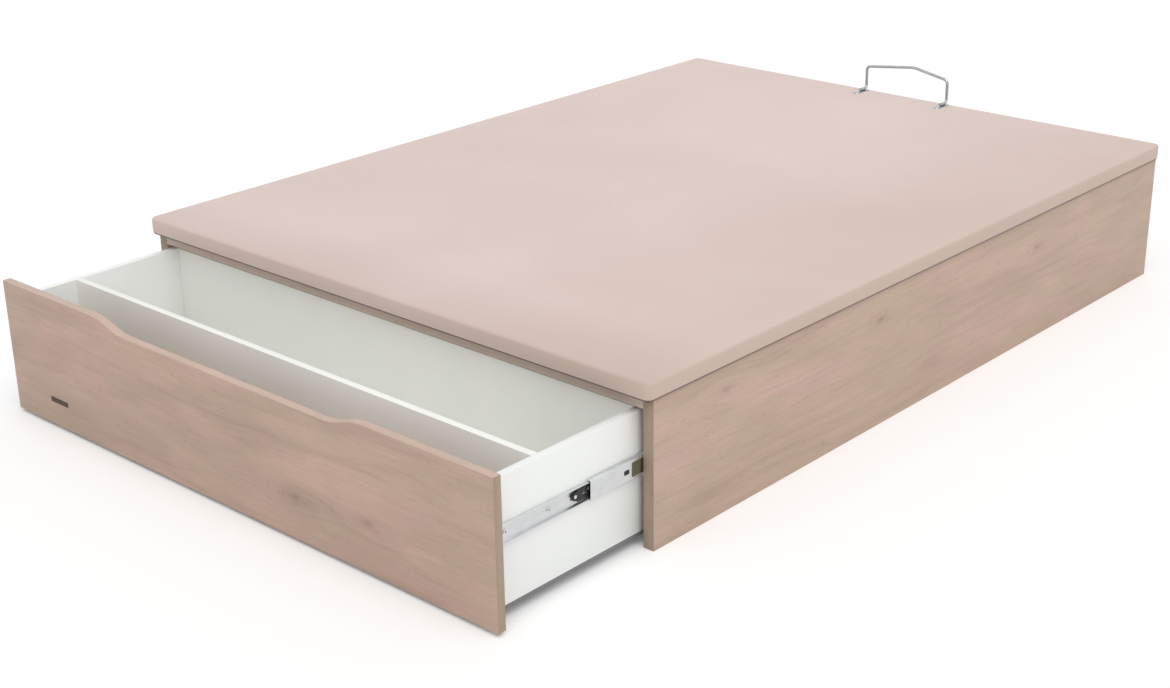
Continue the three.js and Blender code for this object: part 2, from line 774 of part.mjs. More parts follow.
// Plate bolted to the inner face of the lid's side tube, with the pins that both arms turn on
function lidBracket(side) {
  const origin = rear_lid_pivot;
  const bolt_height = lid_tube_height - lid_bolt_drop - origin.y;
  const last_bolt = lid_bolt_first + (lid_bolt_count - 1) * lid_bolt_pitch;
  const outline = beltOutline([
    [0, 0, bracket_lobe_radius],
    [front_lid_pivot.x - origin.x, front_lid_pivot.y - origin.y, bracket_lobe_radius],
    [lid_bolt_first, bolt_height, bracket_ear_radius],
    [last_bolt, bolt_height, bracket_ear_radius],
  ]);
  let body = solid(sidePlate(outline, lid_bracket_inset, lid_bracket_thickness));
  const root = lid_bracket_inset + lid_bracket_thickness / 2;
  const rear_head = rear_arm_inset - pivot_clearance;
  const rear_pin = headedPin(
    rear_lid_pivot,
    origin,
    pivot_pin_radius,
    rear_pin_head_radius,
    root,
    rear_head,
  );
  const front_head = front_lever_inset - pivot_clearance;
  const front_pin = headedPin(
    front_lid_pivot,
    origin,
    lid_pin_radius,
    pin_head_radius,
    root,
    front_head,
  );
  body = body.add(rear_pin).add(front_pin);
  const bolt_end = lid_bracket_inset + lid_bracket_thickness + lid_bolt_head;
  for (let i = 0; i < lid_bolt_count; i += 1) {
    const y = lid_bolt_first + i * lid_bolt_pitch;
    body = body.add(crossPin(y, bolt_height, lid_bolt_radius, root, bolt_end, 6));
  }
  const mesh = part(sideName('lid_bracket', side), forSide(geometryOf(body), side), zinc);
  return at(mesh, ...pivotPlace(origin, side));
}

// Gas spring, modelled along its own axis and laid from the base stud to the lever's stud
const gas_run = gas_lever_pivot.clone().sub(gas_base_pivot);
const gas_length = gas_run.length();
const gas_angle = Math.atan2(gas_run.y, -gas_run.x);
const gas_tube_start = gas_eye_radius + gas_eye_gap;
const gas_tube_end = gas_tube_start + gas_tube_length;
const gas_guide_start = gas_tube_end - gas_rod_guide_length;
const gas_bore = gas_tube_radius - gas_tube_wall;
// How far the rod runs into the tube while the lid rises
const gas_stroke = lever_tail_length * Math.sin(lever_swing);

// A body turned about the spring's axis, from points that give its radius and place along it
function turned(points) {
  const profile = points.map(([radius, along]) => new THREE.Vector2(radius, along));
  return solid(new THREE.LatheGeometry(profile, 20));
}

// An eye round a stud, with the flat neck that joins it to the spring between two places
function withEye(spring, hole_radius, centre, neck_width, neck_start, neck_end) {
  const half = gas_eye_width / 2;
  const reach = half + cut_margin;
  const ring = solid(pinAlongX(gas_eye_radius, -half, half, centre));
  const hole = solid(pinAlongX(hole_radius, -reach, reach, centre));
  const low = [-half, neck_start, -neck_width / 2];
  const neck = solid(block(low, [half, neck_end, neck_width / 2]));
  return spring.add(neck).add(ring).subtract(hole);
}

function gasCylinder(side) {
  const guide = gas_rod_radius + pivot_clearance;
  const floor_start = gas_tube_start - gas_tube_floor / 2;
  const floor_end = gas_tube_start + gas_tube_floor / 2;
  const tube = turned([
    [0, floor_start],
    [gas_tube_radius - gas_tube_taper, floor_start],
    [gas_tube_radius, gas_tube_start],
    [gas_tube_radius, gas_tube_end - gas_rim_chamfer],
    [gas_tube_radius - gas_rim_chamfer, gas_tube_end],
    [guide, gas_tube_end],
    [guide, gas_guide_start],
    [gas_bore, gas_guide_start],
    [gas_bore, floor_end],
    [0, floor_end],
  ]);
  const bore = gas_stud_radius + pivot_clearance;
  const body = withEye(tube, bore, 0, gas_tube_neck, 0, floor_start + joined_depth);
  return gasMesh(sideName('gas_cylinder', side), body, side, painted_steel);
}

function gasRod(side) {
  const piston_radius = gas_bore - pivot_clearance;
  const piston_end = gas_guide_start - gas_stroke - gas_spare_travel;
  const piston_start = piston_end - gas_piston_length;
  const rod_end = gas_length - gas_eye_radius;
  const rod = turned([
    [0, piston_start],
    [piston_radius, piston_start],
    [piston_radius, piston_end],
    [gas_rod_radius, piston_end],
    [gas_rod_radius, rod_end + joined_depth],
    [0, rod_end + joined_depth],
  ]);
  const nut = new THREE.CylinderGeometry(gas_collar_radius, gas_collar_radius, gas_collar_length, 6);
  const collar = solid(nut.translate(0, rod_end - gas_collar_length / 2, 0));
  const bore = gas_stud_radius + open_pivot_play;
  const neck_start = rod_end - gas_collar_length / 2;
  const body = withEye(rod.add(collar), bore, gas_length, gas_rod_neck, neck_start, gas_length);
  return gasMesh(sideName('gas_rod', side), body, side, bright_steel);
}

function gasMesh(name, body, side, finish) {
  const mesh = part(name, forSide(geometryOf(body), side), finish);
  mesh.rotation.x = gas_angle;
  const [x, y, z] = pivotPlace(gas_base_pivot, side);
  return at(mesh, x - side * gas_axis_inset, y, z);
}

// Drawer

function drawerFront() {
  const half = (carcass_width - 2 * drawer_front_side_gap) / 2;
  const top = carcass_height - drawer_front_lid_gap;
  const dip = top - notch_depth;
  const inner = notch_width / 2 - notch_slope;
  const outer = notch_width / 2;
  const middle = (inner + outer) / 2;
  const shape = new THREE.Shape();
  shape.moveTo(-half, drawer_front_floor_gap);
  shape.lineTo(half, drawer_front_floor_gap);
  shape.lineTo(half, top);
  shape.lineTo(outer, top);
  shape.bezierCurveTo(middle, top, middle, dip, inner, dip);
  shape.lineTo(-inner, dip);
  shape.bezierCurveTo(-middle, dip, -middle, top, -outer, top);
  shape.lineTo(-half, top);
  shape.closePath();
  const settings = { depth: drawer_front_thickness, bevelEnabled: false, curveSegments: 14 };
  const geometry = new THREE.ExtrudeGeometry(shape, settings).rotateX(Math.PI / 2);
  return at(part('drawer_front', geometry, oak), 0, drawer_front_back_face, 0);
}

const drawer_bottom_low = drawer_side_bottom + drawer_bottom_raise;
const drawer_bottom_high = drawer_bottom_low + drawer_bottom_thickness;
const drawer_inner_half = drawer_half_width - drawer_board_thickness;
const drawer_back_face = drawer_front_back_face + drawer_depth;
const drawer_bottom_edge = drawer_inner_half + drawer_groove_depth - groove_clearance;

// Side board with the groove that the bottom slides into
function drawerSide(side) {
  const thickness = drawer_board_thickness;
  const low = drawer_bottom_raise - groove_clearance;
  const high = drawer_bottom_raise + drawer_bottom_thickness + groove_clearance;
  const shape = new THREE.Shape();
  shape.moveTo(0, 0);
  shape.lineTo(thickness, 0);
  shape.lineTo(thickness, drawer_side_height);
  shape.lineTo(0, drawer_side_height);
  shape.lineTo(0, high);
  shape.lineTo(drawer_groove_depth, high);
  shape.lineTo(drawer_groove_depth, low);
  shape.lineTo(0, low);
  shape.closePath();
  const settings = { depth: drawer_depth, bevelEnabled: false };
  const geometry = new THREE.ExtrudeGeometry(shape, settings).rotateX(Math.PI / 2);
  const mesh = part(sideName('drawer_side', side), forSide(geometry, side), white_board);
  return at(mesh, side * drawer_inner_half, drawer_back_face, drawer_side_bottom);
}

function drawerBack() {
  const low = [-drawer_inner_half, drawer_back_face - drawer_board_thickness, drawer_bottom_high];
  const high = [drawer_inner_half, drawer_back_face, drawer_side_top];
  return board('drawer_back', low, high, white_board);
}

function drawerBottom() {
  const low = [-drawer_bottom_edge, drawer_front_back_face, drawer_bottom_low];
  const high = [drawer_bottom_edge, drawer_back_face, drawer_bottom_high];
  return board('drawer_bottom', low, high, white_board);
}

function drawerDivider() {
  const front = drawer_front_back_face + divider_setback;
  const low = [-drawer_inner_half, front, drawer_bottom_high];
  const high = [drawer_inner_half, front + drawer_board_thickness, drawer_side_top];
  return board('drawer_divider', low, high, white_board);
}

// Slides

// Channel section with its web at x = 0 and its flanges towards -x. Each flange has a ball track
// on its inner face, its outer face or both, at a distance from the web's face.
function channelShape(height, depth, track_place, inner_track, outer_track) {
  const half = height / 2;
  const wall = slide_flange_wall;
  const bend = slide_bend_radius;
  const track = ball_track_radius;
  const middle = -track_place;
  const shape = new THREE.Shape();
  shape.moveTo(-depth, -half + wall);
  shape.lineTo(-depth, -half);
  if (outer_track) {
    shape.absarc(middle, -half, track, Math.PI, 0, true);
  }
  shape.absarc(-bend, -half + bend, bend, -Math.PI / 2, 0);
  shape.absarc(-bend, half - bend, bend, 0, Math.PI / 2);
  if (outer_track) {
    shape.absarc(middle, half, track, 0, Math.PI, true);
  }
  shape.lineTo(-depth, half);
  shape.lineTo(-depth, half - wall);
  if (inner_track) {
    shape.absarc(middle, half - wall, track, Math.PI, 0, true);
  }
  shape.lineTo(-slide_wall, half - wall);
  shape.lineTo(-slide_wall, -half + wall);
  if (inner_track) {
    shape.absarc(middle, -half + wall, track, 0, Math.PI, true);
  }
  shape.closePath();
  return shape;
}

function channel(shape) {
  const settings = { depth: slide_length, bevelEnabled: false, curveSegments: 4 };
  const geometry = new THREE.ExtrudeGeometry(shape, settings);
  return geometry.rotateX(Math.PI / 2).translate(0, slide_length, 0);
}

// A channel with a row of screw holes through its web
function drilledChannel(shape) {
  let body = solid(channel(shape));
  const pitch = (slide_length - 2 * slide_screw_setback) / (slide_screw_count - 1);
  for (let i = 0; i < slide_screw_count; i += 1) {
    const y = slide_screw_setback + i * pitch;
    const end = -slide_wall - cut_margin;
    body = body.subtract(solid(pinAlongX(slide_screw_radius, cut_margin, end, y, 0, 16)));
  }
  return geometryOf(body);
}

const slide_step = 2 * (slide_flange_wall + slide_running_gap);
const middle_height = slide_height - slide_step;
const inner_height = middle_height - slide_step;
const middle_web_inset = slide_wall + slide_web_gap;
const slide_front = foot_plane + slide_setback;

function cabinetMember(side) {
  const depth = slide_space - slide_lip_gap;
  const shape = channelShape(slide_height, depth, ball_track_inset, true, false);
  const geometry = forSide(drilledChannel(shape), side);
  const mesh = part(sideName('slide_cabinet_member', side), geometry, zinc);
  return at(mesh, side * inner_half_width, slide_front, slide_centre_height);
}

function middleMember(side) {
  const depth = slide_space - middle_web_inset - slide_wall - slide_running_gap;
  const track = ball_track_inset - middle_web_inset;
  const shape = channelShape(middle_height, depth, track, true, true);
  const geometry = forSide(channel(shape), side);
  const mesh = part(sideName('slide_middle_member', side), geometry, zinc);
  const x = side * (inner_half_width - middle_web_inset);
  return at(mesh, x, slide_front - drawer_travel * slide_middle_share, slide_centre_height);
}

const release_inset = slide_wall + slide_web_gap;
// Distance of the release lever's rivet from the front end of the drawer member
const release_pivot_setback = drawer_travel * (1 - slide_middle_share) - release_pivot_gap;

// Innermost channel, turned the other way, with the rivet of its release lever
function drawerMember(side) {
  const depth = slide_space - middle_web_inset - slide_wall - slide_web_gap;
  const track = slide_space - ball_track_inset;
  const shape = channelShape(inner_height, depth, track, false, true);
  const end = release_inset + release_lever_thickness;
  const root = slide_wall / 2;
  const rivet = solid(pinAlongX(release_pivot_radius, root, end, release_pivot_setback, 0, 16));
  const body = solid(mirrored(drilledChannel(shape))).add(rivet);
  const geometry = forSide(geometryOf(body), side);
  const mesh = part(sideName('slide_drawer_member', side), geometry, zinc);
  return at(mesh, side * drawer_half_width, slide_front - drawer_travel, slide_centre_height);
}

// Black lever that unlatches the drawer from its slide, with an eye, a finger pad and two prongs
function releaseLever(side) {
  const eye = release_eye_radius;
  const pad = release_pad_half_height;
  const shoulder = release_shoulder_reach;
  const tip = release_lever_reach;
  const corner = release_corner_radius;
  const fork = release_fork_half_height;
  const root = tip - release_prong_length;
  const shape = new THREE.Shape();
  shape.absarc(0, 0, eye, Math.PI * 0.6, Math.PI * 1.4);
  shape.lineTo(0, -eye);
  shape.bezierCurveTo(shoulder, -eye, shoulder, -pad, 2 * shoulder, -pad);
  shape.absarc(tip - corner, corner - pad, corner, -Math.PI / 2, 0);
  shape.lineTo(tip, -fork);
  shape.lineTo(root, -fork);
  shape.lineTo(root, fork);
  shape.lineTo(tip, fork);
  shape.absarc(tip - corner, pad - corner, corner, 0, Math.PI / 2);
  shape.lineTo(2 * shoulder, pad);
  shape.bezierCurveTo(shoulder, pad, shoulder, eye, 0, eye);
  shape.closePath();
  shape.holes.push(roundHole(0, 0, release_pivot_radius + release_pivot_clearance));
  const settings = { depth: release_lever_thickness, bevelEnabled: false, curveSegments: 8 };
  const geometry = new THREE.ExtrudeGeometry(shape, settings);
  const frame = new THREE.Matrix4().makeBasis(
    new THREE.Vector3(0, 1, 0),
    new THREE.Vector3(0, 0, 1),
    new THREE.Vector3(1, 0, 0),
  );
  geometry.applyMatrix4(frame).translate(release_inset, 0, 0);
  const name = sideName('slide_release_lever', side);
  const mesh = part(name, forSide(geometry, side), black_plastic);
  const y = slide_front - drawer_travel + release_pivot_setback;
  return at(mesh, side * drawer_half_width, y, slide_centre_height);
}

function buildCarcass() {
  const carcass = new THREE.Group();
  carcass.add(headPanel(), bayPartition(), floorBeam());
  carcass.add(footTopRail(), partitionTopRail(), footBottomRail());
  for (const side of [-1, 1]) {
    carcass.add(sidePanel(side), floorCleat(side), floorBoard(side));
    carcass.add(cornerBracket(side, 1), cornerBracket(side, -1));
    carcass.add(hingePlate(side), cabinetMember(side));
  }
  return carcass;
}

function buildLid() {
  const lid = new THREE.Group();
  lid.add(lidTopPad(), lidBoard(), ...lidCrossMembers(), mattressRetainer());
  lid.add(lidEndBorder('lid_border_head', 1), lidEndBorder('lid_border_foot', -1));
  for (const side of [-1, 1]) {
    lid.add(lidSideTube(side), lidSideBorder(side), lidBracket(side));
  }
  return lid;
}

function buildLift() {
  const lift = new THREE.Group();
  for (const side of [-1, 1]) {
    lift.add(rearArm(side), frontLever(side), gasCylinder(side), gasRod(side));
  }
  return lift;
}

function buildDrawer() {
  const drawer = new THREE.Group();
  drawer.add(drawerFront(), drawerBack(), drawerBottom(), drawerDivider());
  for (const side of [-1, 1]) {
    drawer.add(drawerSide(side), middleMember(side), drawerMember(side), releaseLever(side));
  }
  return drawer;
}

const group = new THREE.Group();
group.add(buildCarcass(), buildLid(), buildLift(), buildDrawer());

export default group;
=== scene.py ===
"""Looks of the lift-up storage bed base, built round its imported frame. Metres, +Z up."""
import math

import bmesh
import bpy
from mathutils import Matrix, Vector

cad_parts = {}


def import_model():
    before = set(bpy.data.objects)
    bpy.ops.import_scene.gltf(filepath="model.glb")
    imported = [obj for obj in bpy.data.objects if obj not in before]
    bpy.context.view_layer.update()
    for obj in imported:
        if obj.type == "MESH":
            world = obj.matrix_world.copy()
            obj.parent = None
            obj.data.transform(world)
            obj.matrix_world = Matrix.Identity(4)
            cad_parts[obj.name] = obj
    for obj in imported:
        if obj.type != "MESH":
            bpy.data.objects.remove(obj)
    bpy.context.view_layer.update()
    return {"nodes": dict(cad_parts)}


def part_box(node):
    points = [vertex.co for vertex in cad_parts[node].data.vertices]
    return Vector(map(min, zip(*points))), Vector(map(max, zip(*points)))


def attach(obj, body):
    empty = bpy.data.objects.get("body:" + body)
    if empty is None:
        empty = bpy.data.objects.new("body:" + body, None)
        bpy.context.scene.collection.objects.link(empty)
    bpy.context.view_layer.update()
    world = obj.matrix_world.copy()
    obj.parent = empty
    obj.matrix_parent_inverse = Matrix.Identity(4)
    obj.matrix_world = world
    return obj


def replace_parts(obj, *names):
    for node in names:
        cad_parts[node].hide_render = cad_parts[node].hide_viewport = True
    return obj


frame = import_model()

# Each side's name, and the way from the middle of the bed to it along X
SIDES = {"left": -1, "right": 1}
RIGHT_ANGLE = math.pi / 2

# Light: an even sky, and one broad soft lamp above and to the right of the bed. The floor glows
# a little towards the camera, which brings it up to the white behind it.
AMBIENT = 0.63
LAMP_STRENGTH = 1.25
LAMP_DEGREES = 50
LAMP_WAY = Vector((0.45, -0.25, 1.0))
FLOOR_REACH = 20.0
FLOOR_GLOW = 0.095

# Lid fabric: the height of the dark painted shadow line at the lower edge, how far the browner band
# (partly painted shade) stays below the top and inside the long sides, and the painted shade near
# the foot and the right side with where it begins and ends
SHADOW_LINE_HEIGHT = 0.0043
SHADOW_LINE_BLUR = 0.0008
BAND_SETBACK = 0.001
BAND_BLUR = 0.006
FLANK_SETBACK = 0.003
# Painted shade: the top is multiplied darker towards the foot, and the whole fabric towards the
# right side
FOOT_PAINTED_SHADE = (0.885, 0.876, 0.855, 1.0)
FOOT_PAINTED_SHADE_FROM = -0.60
FOOT_PAINTED_SHADE_TO = -0.80
RIGHT_PAINTED_SHADE = (0.904, 0.885, 0.861, 1.0)
RIGHT_PAINTED_SHADE_FROM = 0.10
RIGHT_PAINTED_SHADE_TO = 0.75


# Materials


def tone(red, green, blue):
    """The linear colour of an sRGB tone given as three numbers up to 255."""

    def linear(value):
        share = value / 255
        if share <= 0.04045:
            return share / 12.92
        return ((share + 0.055) / 1.055) ** 2.4

    return (linear(red), linear(green), linear(blue), 1.0)


class Finish:
    """A procedural material while its nodes are added. Its textures lie in the piece's own space."""

    def __init__(self, name, **values):
        self.material = bpy.data.materials.new(name)
        self.material.use_nodes = True
        self.tree = self.material.node_tree
        self.shader = self.tree.nodes["Principled BSDF"]
        self.place = self.node("ShaderNodeTexCoord").outputs["Object"]
        for key, value in values.items():
            self.shader.inputs[key.replace("_", " ")].default_value = value

    def node(self, kind, inputs=None, **settings):
        made = self.tree.nodes.new(kind)
        for key, value in settings.items():
            setattr(made, key, value)
        for key, value in (inputs or {}).items():
            if isinstance(value, bpy.types.NodeSocket):
                self.tree.links.new(value, made.inputs[key])
            else:
                made.inputs[key].default_value = value
        return made

    def mapped(self, scale, shift=(0, 0, 0), source=None):
        """The piece's own coordinates, or another vector, scaled and shifted."""
        inputs = {"Vector": source or self.place, "Location": shift, "Scale": scale}
        return self.node("ShaderNodeMapping", inputs).outputs["Vector"]

    def vector(self, operation, first, second=(0, 0, 0)):
        made = self.node("ShaderNodeVectorMath", {0: first, 1: second}, operation=operation)
        return made.outputs["Value" if operation == "LENGTH" else "Vector"]

    def noise(self, vector, scale, detail=3.0, roughness=0.5, distortion=0.0):
        inputs = {
            "Vector": vector,
            "Scale": scale,
            "Detail": detail,
            "Roughness": roughness,
            "Distortion": distortion,
        }
        return self.node("ShaderNodeTexNoise", inputs).outputs["Fac"]

    def ramp(self, value, *stops):
        """Colours or grey levels along a value, each stop as its place and its colour or level."""
        made = self.node("ShaderNodeValToRGB", {"Fac": value})
        elements = made.color_ramp.elements
        while len(elements) < len(stops):
            elements.new(0.5)
        for element, (place, colour) in zip(elements, stops):
            element.position = place
            element.color = colour if isinstance(colour, tuple) else (colour, colour, colour, 1)
        return made.outputs["Color"]

    def mix(self, factor, first, second, blend="MIX"):
        inputs = {0: factor, 6: first, 7: second}
        made = self.node("ShaderNodeMix", inputs, data_type="RGBA", blend_type=blend)
        return made.outputs[2]

    def maths(self, operation, first, second=0.0):
        return self.node("ShaderNodeMath", {0: first, 1: second}, operation=operation).outputs[0]

    def range(self, value, low, high, start=0.0, end=1.0):
        """Goes from the low to the high number as the value goes from the start to the end."""
        inputs = {"Value": value, "From Min": start, "From Max": end, "To Min": low, "To Max": high}
        return self.node("ShaderNodeMapRange", inputs).outputs["Result"]

    def use(self, colour=None, roughness=None, height=None, depth=0.0005, strength=0.5):
        """Joins the colour, the roughness and a bump of some depth to the shader."""
        if colour is not None:
            self.tree.links.new(colour, self.shader.inputs["Base Color"])
        if roughness is not None:
            self.tree.links.new(roughness, self.shader.inputs["Roughness"])
        if height is not None:
            inputs = {"Height": height, "Distance": depth, "Strength": strength}
            bump = self.node("ShaderNodeBump", inputs)
            self.tree.links.new(bump.outputs["Normal"], self.shader.inputs["Normal"])
        return self.material


def oak_finish(name, along, across, shift, pink, beige, knots=(), contrast=1.0):
    """Washed oak decor. The grain runs along one axis, and its bands, drifting flames, fibres and
    short pores follow each other across another. They bend round each knot."""
    finish = Finish(name, Metallic=0.0)

    def stretched(share):
        squeeze = [1.0, 1.0, 1.0]
        squeeze[along] = share
        return squeeze

    only_across = [0.0, 0.0, 0.0]
    only_across[across] = 1.0
    flow = finish.place
    eyes = []
    for centre in knots:
        away = finish.vector("SUBTRACT", finish.place, centre)
        reach = finish.vector("LENGTH", finish.vector("MULTIPLY", away, stretched(0.45)))
        near = finish.ramp(finish.maths("MULTIPLY", reach, 10.0), (0.06, 0.75), (0.6, 0.0))
        spread = finish.vector("MULTIPLY", away, [-value for value in only_across])
        spread = finish.vector("MULTIPLY", spread, near)
        flow = finish.vector("ADD", flow, spread)
        eyes.append(reach)
    drift = finish.noise(finish.mapped(stretched(0.3), shift), 5.0, 2.0, 0.5, 0.3)
    slide = finish.vector("MULTIPLY", drift, [0.07 * value for value in only_across])
    flow = finish.vector("ADD", flow, slide)
    bands = finish.noise(finish.mapped(stretched(0.22), shift, flow), 8.0, 4.0, 0.6, 0.5)
    colour = finish.ramp(bands, (0.36, pink), (0.5, beige), (0.64, pink))
    cloud = finish.noise(finish.mapped(stretched(0.3), shift, flow), 17.0, 3.0, 0.5, 0.4)
    shade = finish.ramp(cloud, (0.34, 1 - 0.055 * contrast), (0.62, 1 + 0.025 * contrast))
    colour = finish.mix(1.0, colour, shade, "MULTIPLY")
    flame = finish.noise(finish.mapped(stretched(0.05), shift, flow), 26.0, 3.0, 0.55, 1.2)
    flame = finish.ramp(flame, (0.34, 0.9), (0.46, 1.0), (0.58, 1.03), (0.68, 0.96))
    colour = finish.mix(0.8, colour, flame, "MULTIPLY")
    thin = finish.mapped(stretched(0.04), shift, flow)
    fibres = finish.noise(thin, 190.0, 3.0, 0.7, 0.2)
    colour = finish.mix(0.7, colour, finish.ramp(fibres, (0.3, 0.91), (0.62, 1.04)), "MULTIPLY")
    pores = finish.noise(finish.mapped(stretched(0.07), shift, flow), 620.0, 2.0, 0.6)
    colour = finish.mix(0.8, colour, finish.ramp(pores, (0.30, 0.74), (0.38, 1.0)), "MULTIPLY")
    for reach in eyes:
        ragged = finish.noise(finish.place, 90.0, 2.0)
        ring = finish.maths("ADD", reach, finish.maths("MULTIPLY", ragged, 0.008))
        eye = finish.ramp(ring, (0.006, 0.72), (0.010, 0.9), (0.016, 0.95), (0.028, 1.0))
        colour = finish.mix(1.0, colour, eye, "MULTIPLY")
    height = finish.mix(0.5, fibres, pores)
    return finish.use(colour, finish.range(fibres, 0.48, 0.64), height, 0.0002, 0.35)


def white_finish(name, dark, light):
    """White melamine with the faint orange peel of a pressed board."""
    finish = Finish(name, Metallic=0.0)
    cloud = finish.noise(finish.place, 5.0, 4.0)
    colour = finish.ramp(cloud, (0.3, dark), (0.7, light))
    peel = finish.noise(finish.place, 900.0, 2.0)
    return finish.use(colour, finish.range(cloud, 0.32, 0.44), peel, 0.00008, 0.25)


def fabric_finish():
    """Spacer fabric with rows of small knitted eyes and a slight drift of tone. Round the lid's
    sides it goes over into a darker, browner tone, partly its own and partly painted shade, darker
    still on the long sides as painted shade, and into a dark painted shadow line at their lower
    edge. Painted shade also darkens the top towards the foot and the fabric towards the right side."""
    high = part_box("lid_top_pad")[1]
    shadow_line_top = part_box("lid_border_foot")[0].z + SHADOW_LINE_HEIGHT
    band_top = high.z - BAND_SETBACK
    flank_end = high.x - FLANK_SETBACK
    flank_start = flank_end - BAND_BLUR
    finish = Finish("spacer_fabric", Metallic=0.0)
    finish.shader.inputs["Sheen Weight"].default_value = 0.2
    finish.shader.inputs["Sheen Roughness"].default_value = 0.6
    drift = finish.noise(finish.place, 1.6, 4.0, 0.5, 0.4)
    top = finish.ramp(drift, (0.3, tone(221, 200, 192)), (0.7, tone(229, 209, 202)))
    # The sides are darker and browner than the top, partly the fabric's own tone and partly painted
    # shade; the long sides take a darker copy than the ends, which is painted shade
    ends = finish.ramp(drift, (0.3, tone(216, 194, 184)), (0.7, tone(222, 201, 191)))
    sides = finish.ramp(drift, (0.3, tone(210, 187, 176)), (0.7, tone(216, 194, 183)))
    across, along, level = finish.node("ShaderNodeSeparateXYZ", {"Vector": finish.place}).outputs
    flank = finish.range(finish.maths("ABSOLUTE", across), 0.0, 1.0, flank_start, flank_end)
    band = finish.mix(flank, ends, sides)
    # Painted shade: the top darkens towards the foot end
    painted_foot_shade = finish.range(along, 1.0, 0.0, FOOT_PAINTED_SHADE_TO, FOOT_PAINTED_SHADE_FROM)
    top = finish.mix(painted_foot_shade, top, FOOT_PAINTED_SHADE, "MULTIPLY")
    above_band = finish.range(level, 0.0, 1.0, band_top - BAND_BLUR, band_top)
    colour = finish.mix(above_band, band, top)
    # Painted shade: the fabric darkens towards the right side
    painted_right_shade = finish.range(across, 0.0, 1.0, RIGHT_PAINTED_SHADE_FROM, RIGHT_PAINTED_SHADE_TO)
    colour = finish.mix(painted_right_shade, colour, RIGHT_PAINTED_SHADE, "MULTIPLY")
    # Painted shadow line: a dark band along the lower edge of the sides, where the lid sits on the
    # carcass
    above_shadow_line = finish.range(level, 0.0, 1.0, shadow_line_top - SHADOW_LINE_BLUR, shadow_line_top)
    colour = finish.mix(above_shadow_line, tone(104, 82, 74), colour)
    eyes = {"Vector": finish.mapped((1.0, 0.62, 1.0)), "Scale": 420.0, "Randomness": 0.25}
    cell = finish.node("ShaderNodeTexVoronoi", eyes).outputs["Distance"]
    knit = finish.ramp(cell, (0.08, 0.76), (0.34, 1.0), (0.7, 0.96))
    colour = finish.mix(0.8, colour, knit, "MULTIPLY")
    yarn = finish.noise(finish.place, 1500.0, 3.0, 0.6)
    colour = finish.mix(0.35, colour, finish.ramp(yarn, (0.3, 0.9), (0.7, 1.06)), "MULTIPLY")
    slack = finish.noise(finish.place, 6.0, 2.0)
    height = finish.mix(0.12, knit, slack)
    return finish.use(colour, finish.range(yarn, 0.86, 0.98), height, 0.0006, 0.45)


def metal_finish(name, dark, light, low, high, grain=60.0):
    """Plated steel with the cloudy tone and slight grain of its zinc or nickel coat."""
    finish = Finish(name, Metallic=1.0)
    cloud = finish.noise(finish.place, grain, 5.0, 0.6, 0.6)
    colour = finish.ramp(cloud, (0.3, dark), (0.7, light))
    grit = finish.noise(finish.place, 1400.0, 3.0, 0.7)
    return finish.use(colour, finish.range(cloud, low, high), grit, 0.00006, 0.3)


def painted_finish():
    """Dark grey powder coat with its fine orange peel."""
    finish = Finish("powder_coat", Metallic=0.0)
    cloud = finish.noise(finish.place, 14.0, 3.0)
    colour = finish.ramp(cloud, (0.3, tone(62, 63, 66)), (0.7, tone(74, 75, 78)))
    peel = finish.noise(finish.place, 1100.0, 2.0)
    return finish.use(colour, finish.range(peel, 0.42, 0.56), peel, 0.0001, 0.4)


def fibre_finish():
    """Brown hardboard pressed from wood fibre."""
    finish = Finish("hardboard_fibre", Metallic=0.0)
    flakes = finish.noise(finish.mapped((1.0, 0.5, 1.0)), 260.0, 5.0, 0.7, 0.4)
    tones = ((0.3, tone(118, 88, 62)), (0.55, tone(142, 110, 80)), (0.8, tone(160, 130, 98)))
    colour = finish.ramp(flakes, *tones)
    cloud = finish.noise(finish.place, 9.0, 3.0)
    colour = finish.mix(0.5, colour, finish.ramp(cloud, (0.3, 0.88), (0.7, 1.05)), "MULTIPLY")
    return finish.use(colour, finish.range(flakes, 0.72, 0.9), flakes, 0.0003, 0.5)


def plastic_finish(name, dark, light):
    """Moulded plastic with a fine spark-eroded grain."""
    finish = Finish(name, Metallic=0.0)
    grain = finish.noise(finish.place, 1800.0, 2.0, 0.6)
    colour = finish.ramp(grain, (0.3, dark), (0.7, light))
    return finish.use(colour, finish.range(grain, 0.4, 0.58), grain, 0.0001, 0.4)


OAK_PINK = tone(199, 169, 155)
OAK_BEIGE = tone(190, 167, 148)
FRONT_PINK = tone(196, 165, 150)
FRONT_BEIGE = tone(188, 163, 145)
RAIL_PINK = tone(208, 183, 172)
RAIL_BEIGE = tone(199, 180, 166)
EDGE_PINK = tone(172, 150, 132)
EDGE_BEIGE = tone(164, 145, 126)
# Drawer front's top edge: a paler copy of the edge oak, a painted highlight on the face that looks
# up
TOP_EDGE_HIGHLIGHT_PINK = tone(206, 180, 166)
TOP_EDGE_HIGHLIGHT_BEIGE = tone(198, 176, 160)
SIDE_KNOTS = (
    (0.744, 0.603, 0.231),
    (0.744, -0.047, 0.243),
    (0.744, -0.569, 0.260),
    (-0.744, 0.310, 0.110),
    (-0.744, -0.420, 0.215),
)
FRONT_KNOTS = ((0.211, -1.1955, 0.098), (0.417, -1.1955, 0.113), (-0.330, 1.1905, 0.190))
oak_long = oak_finish("oak_along_bed", 1, 2, (0.3, 0.0, 0.7), OAK_PINK, OAK_BEIGE, SIDE_KNOTS)
oak_wide = oak_finish(
    "oak_across_bed", 0, 2, (0.0, 0.4, 0.2), FRONT_PINK, FRONT_BEIGE, FRONT_KNOTS, contrast=1.6
)
oak_rail = oak_finish("oak_lying_rail", 0, 1, (0.0, 0.7, 0.1), RAIL_PINK, RAIL_BEIGE)
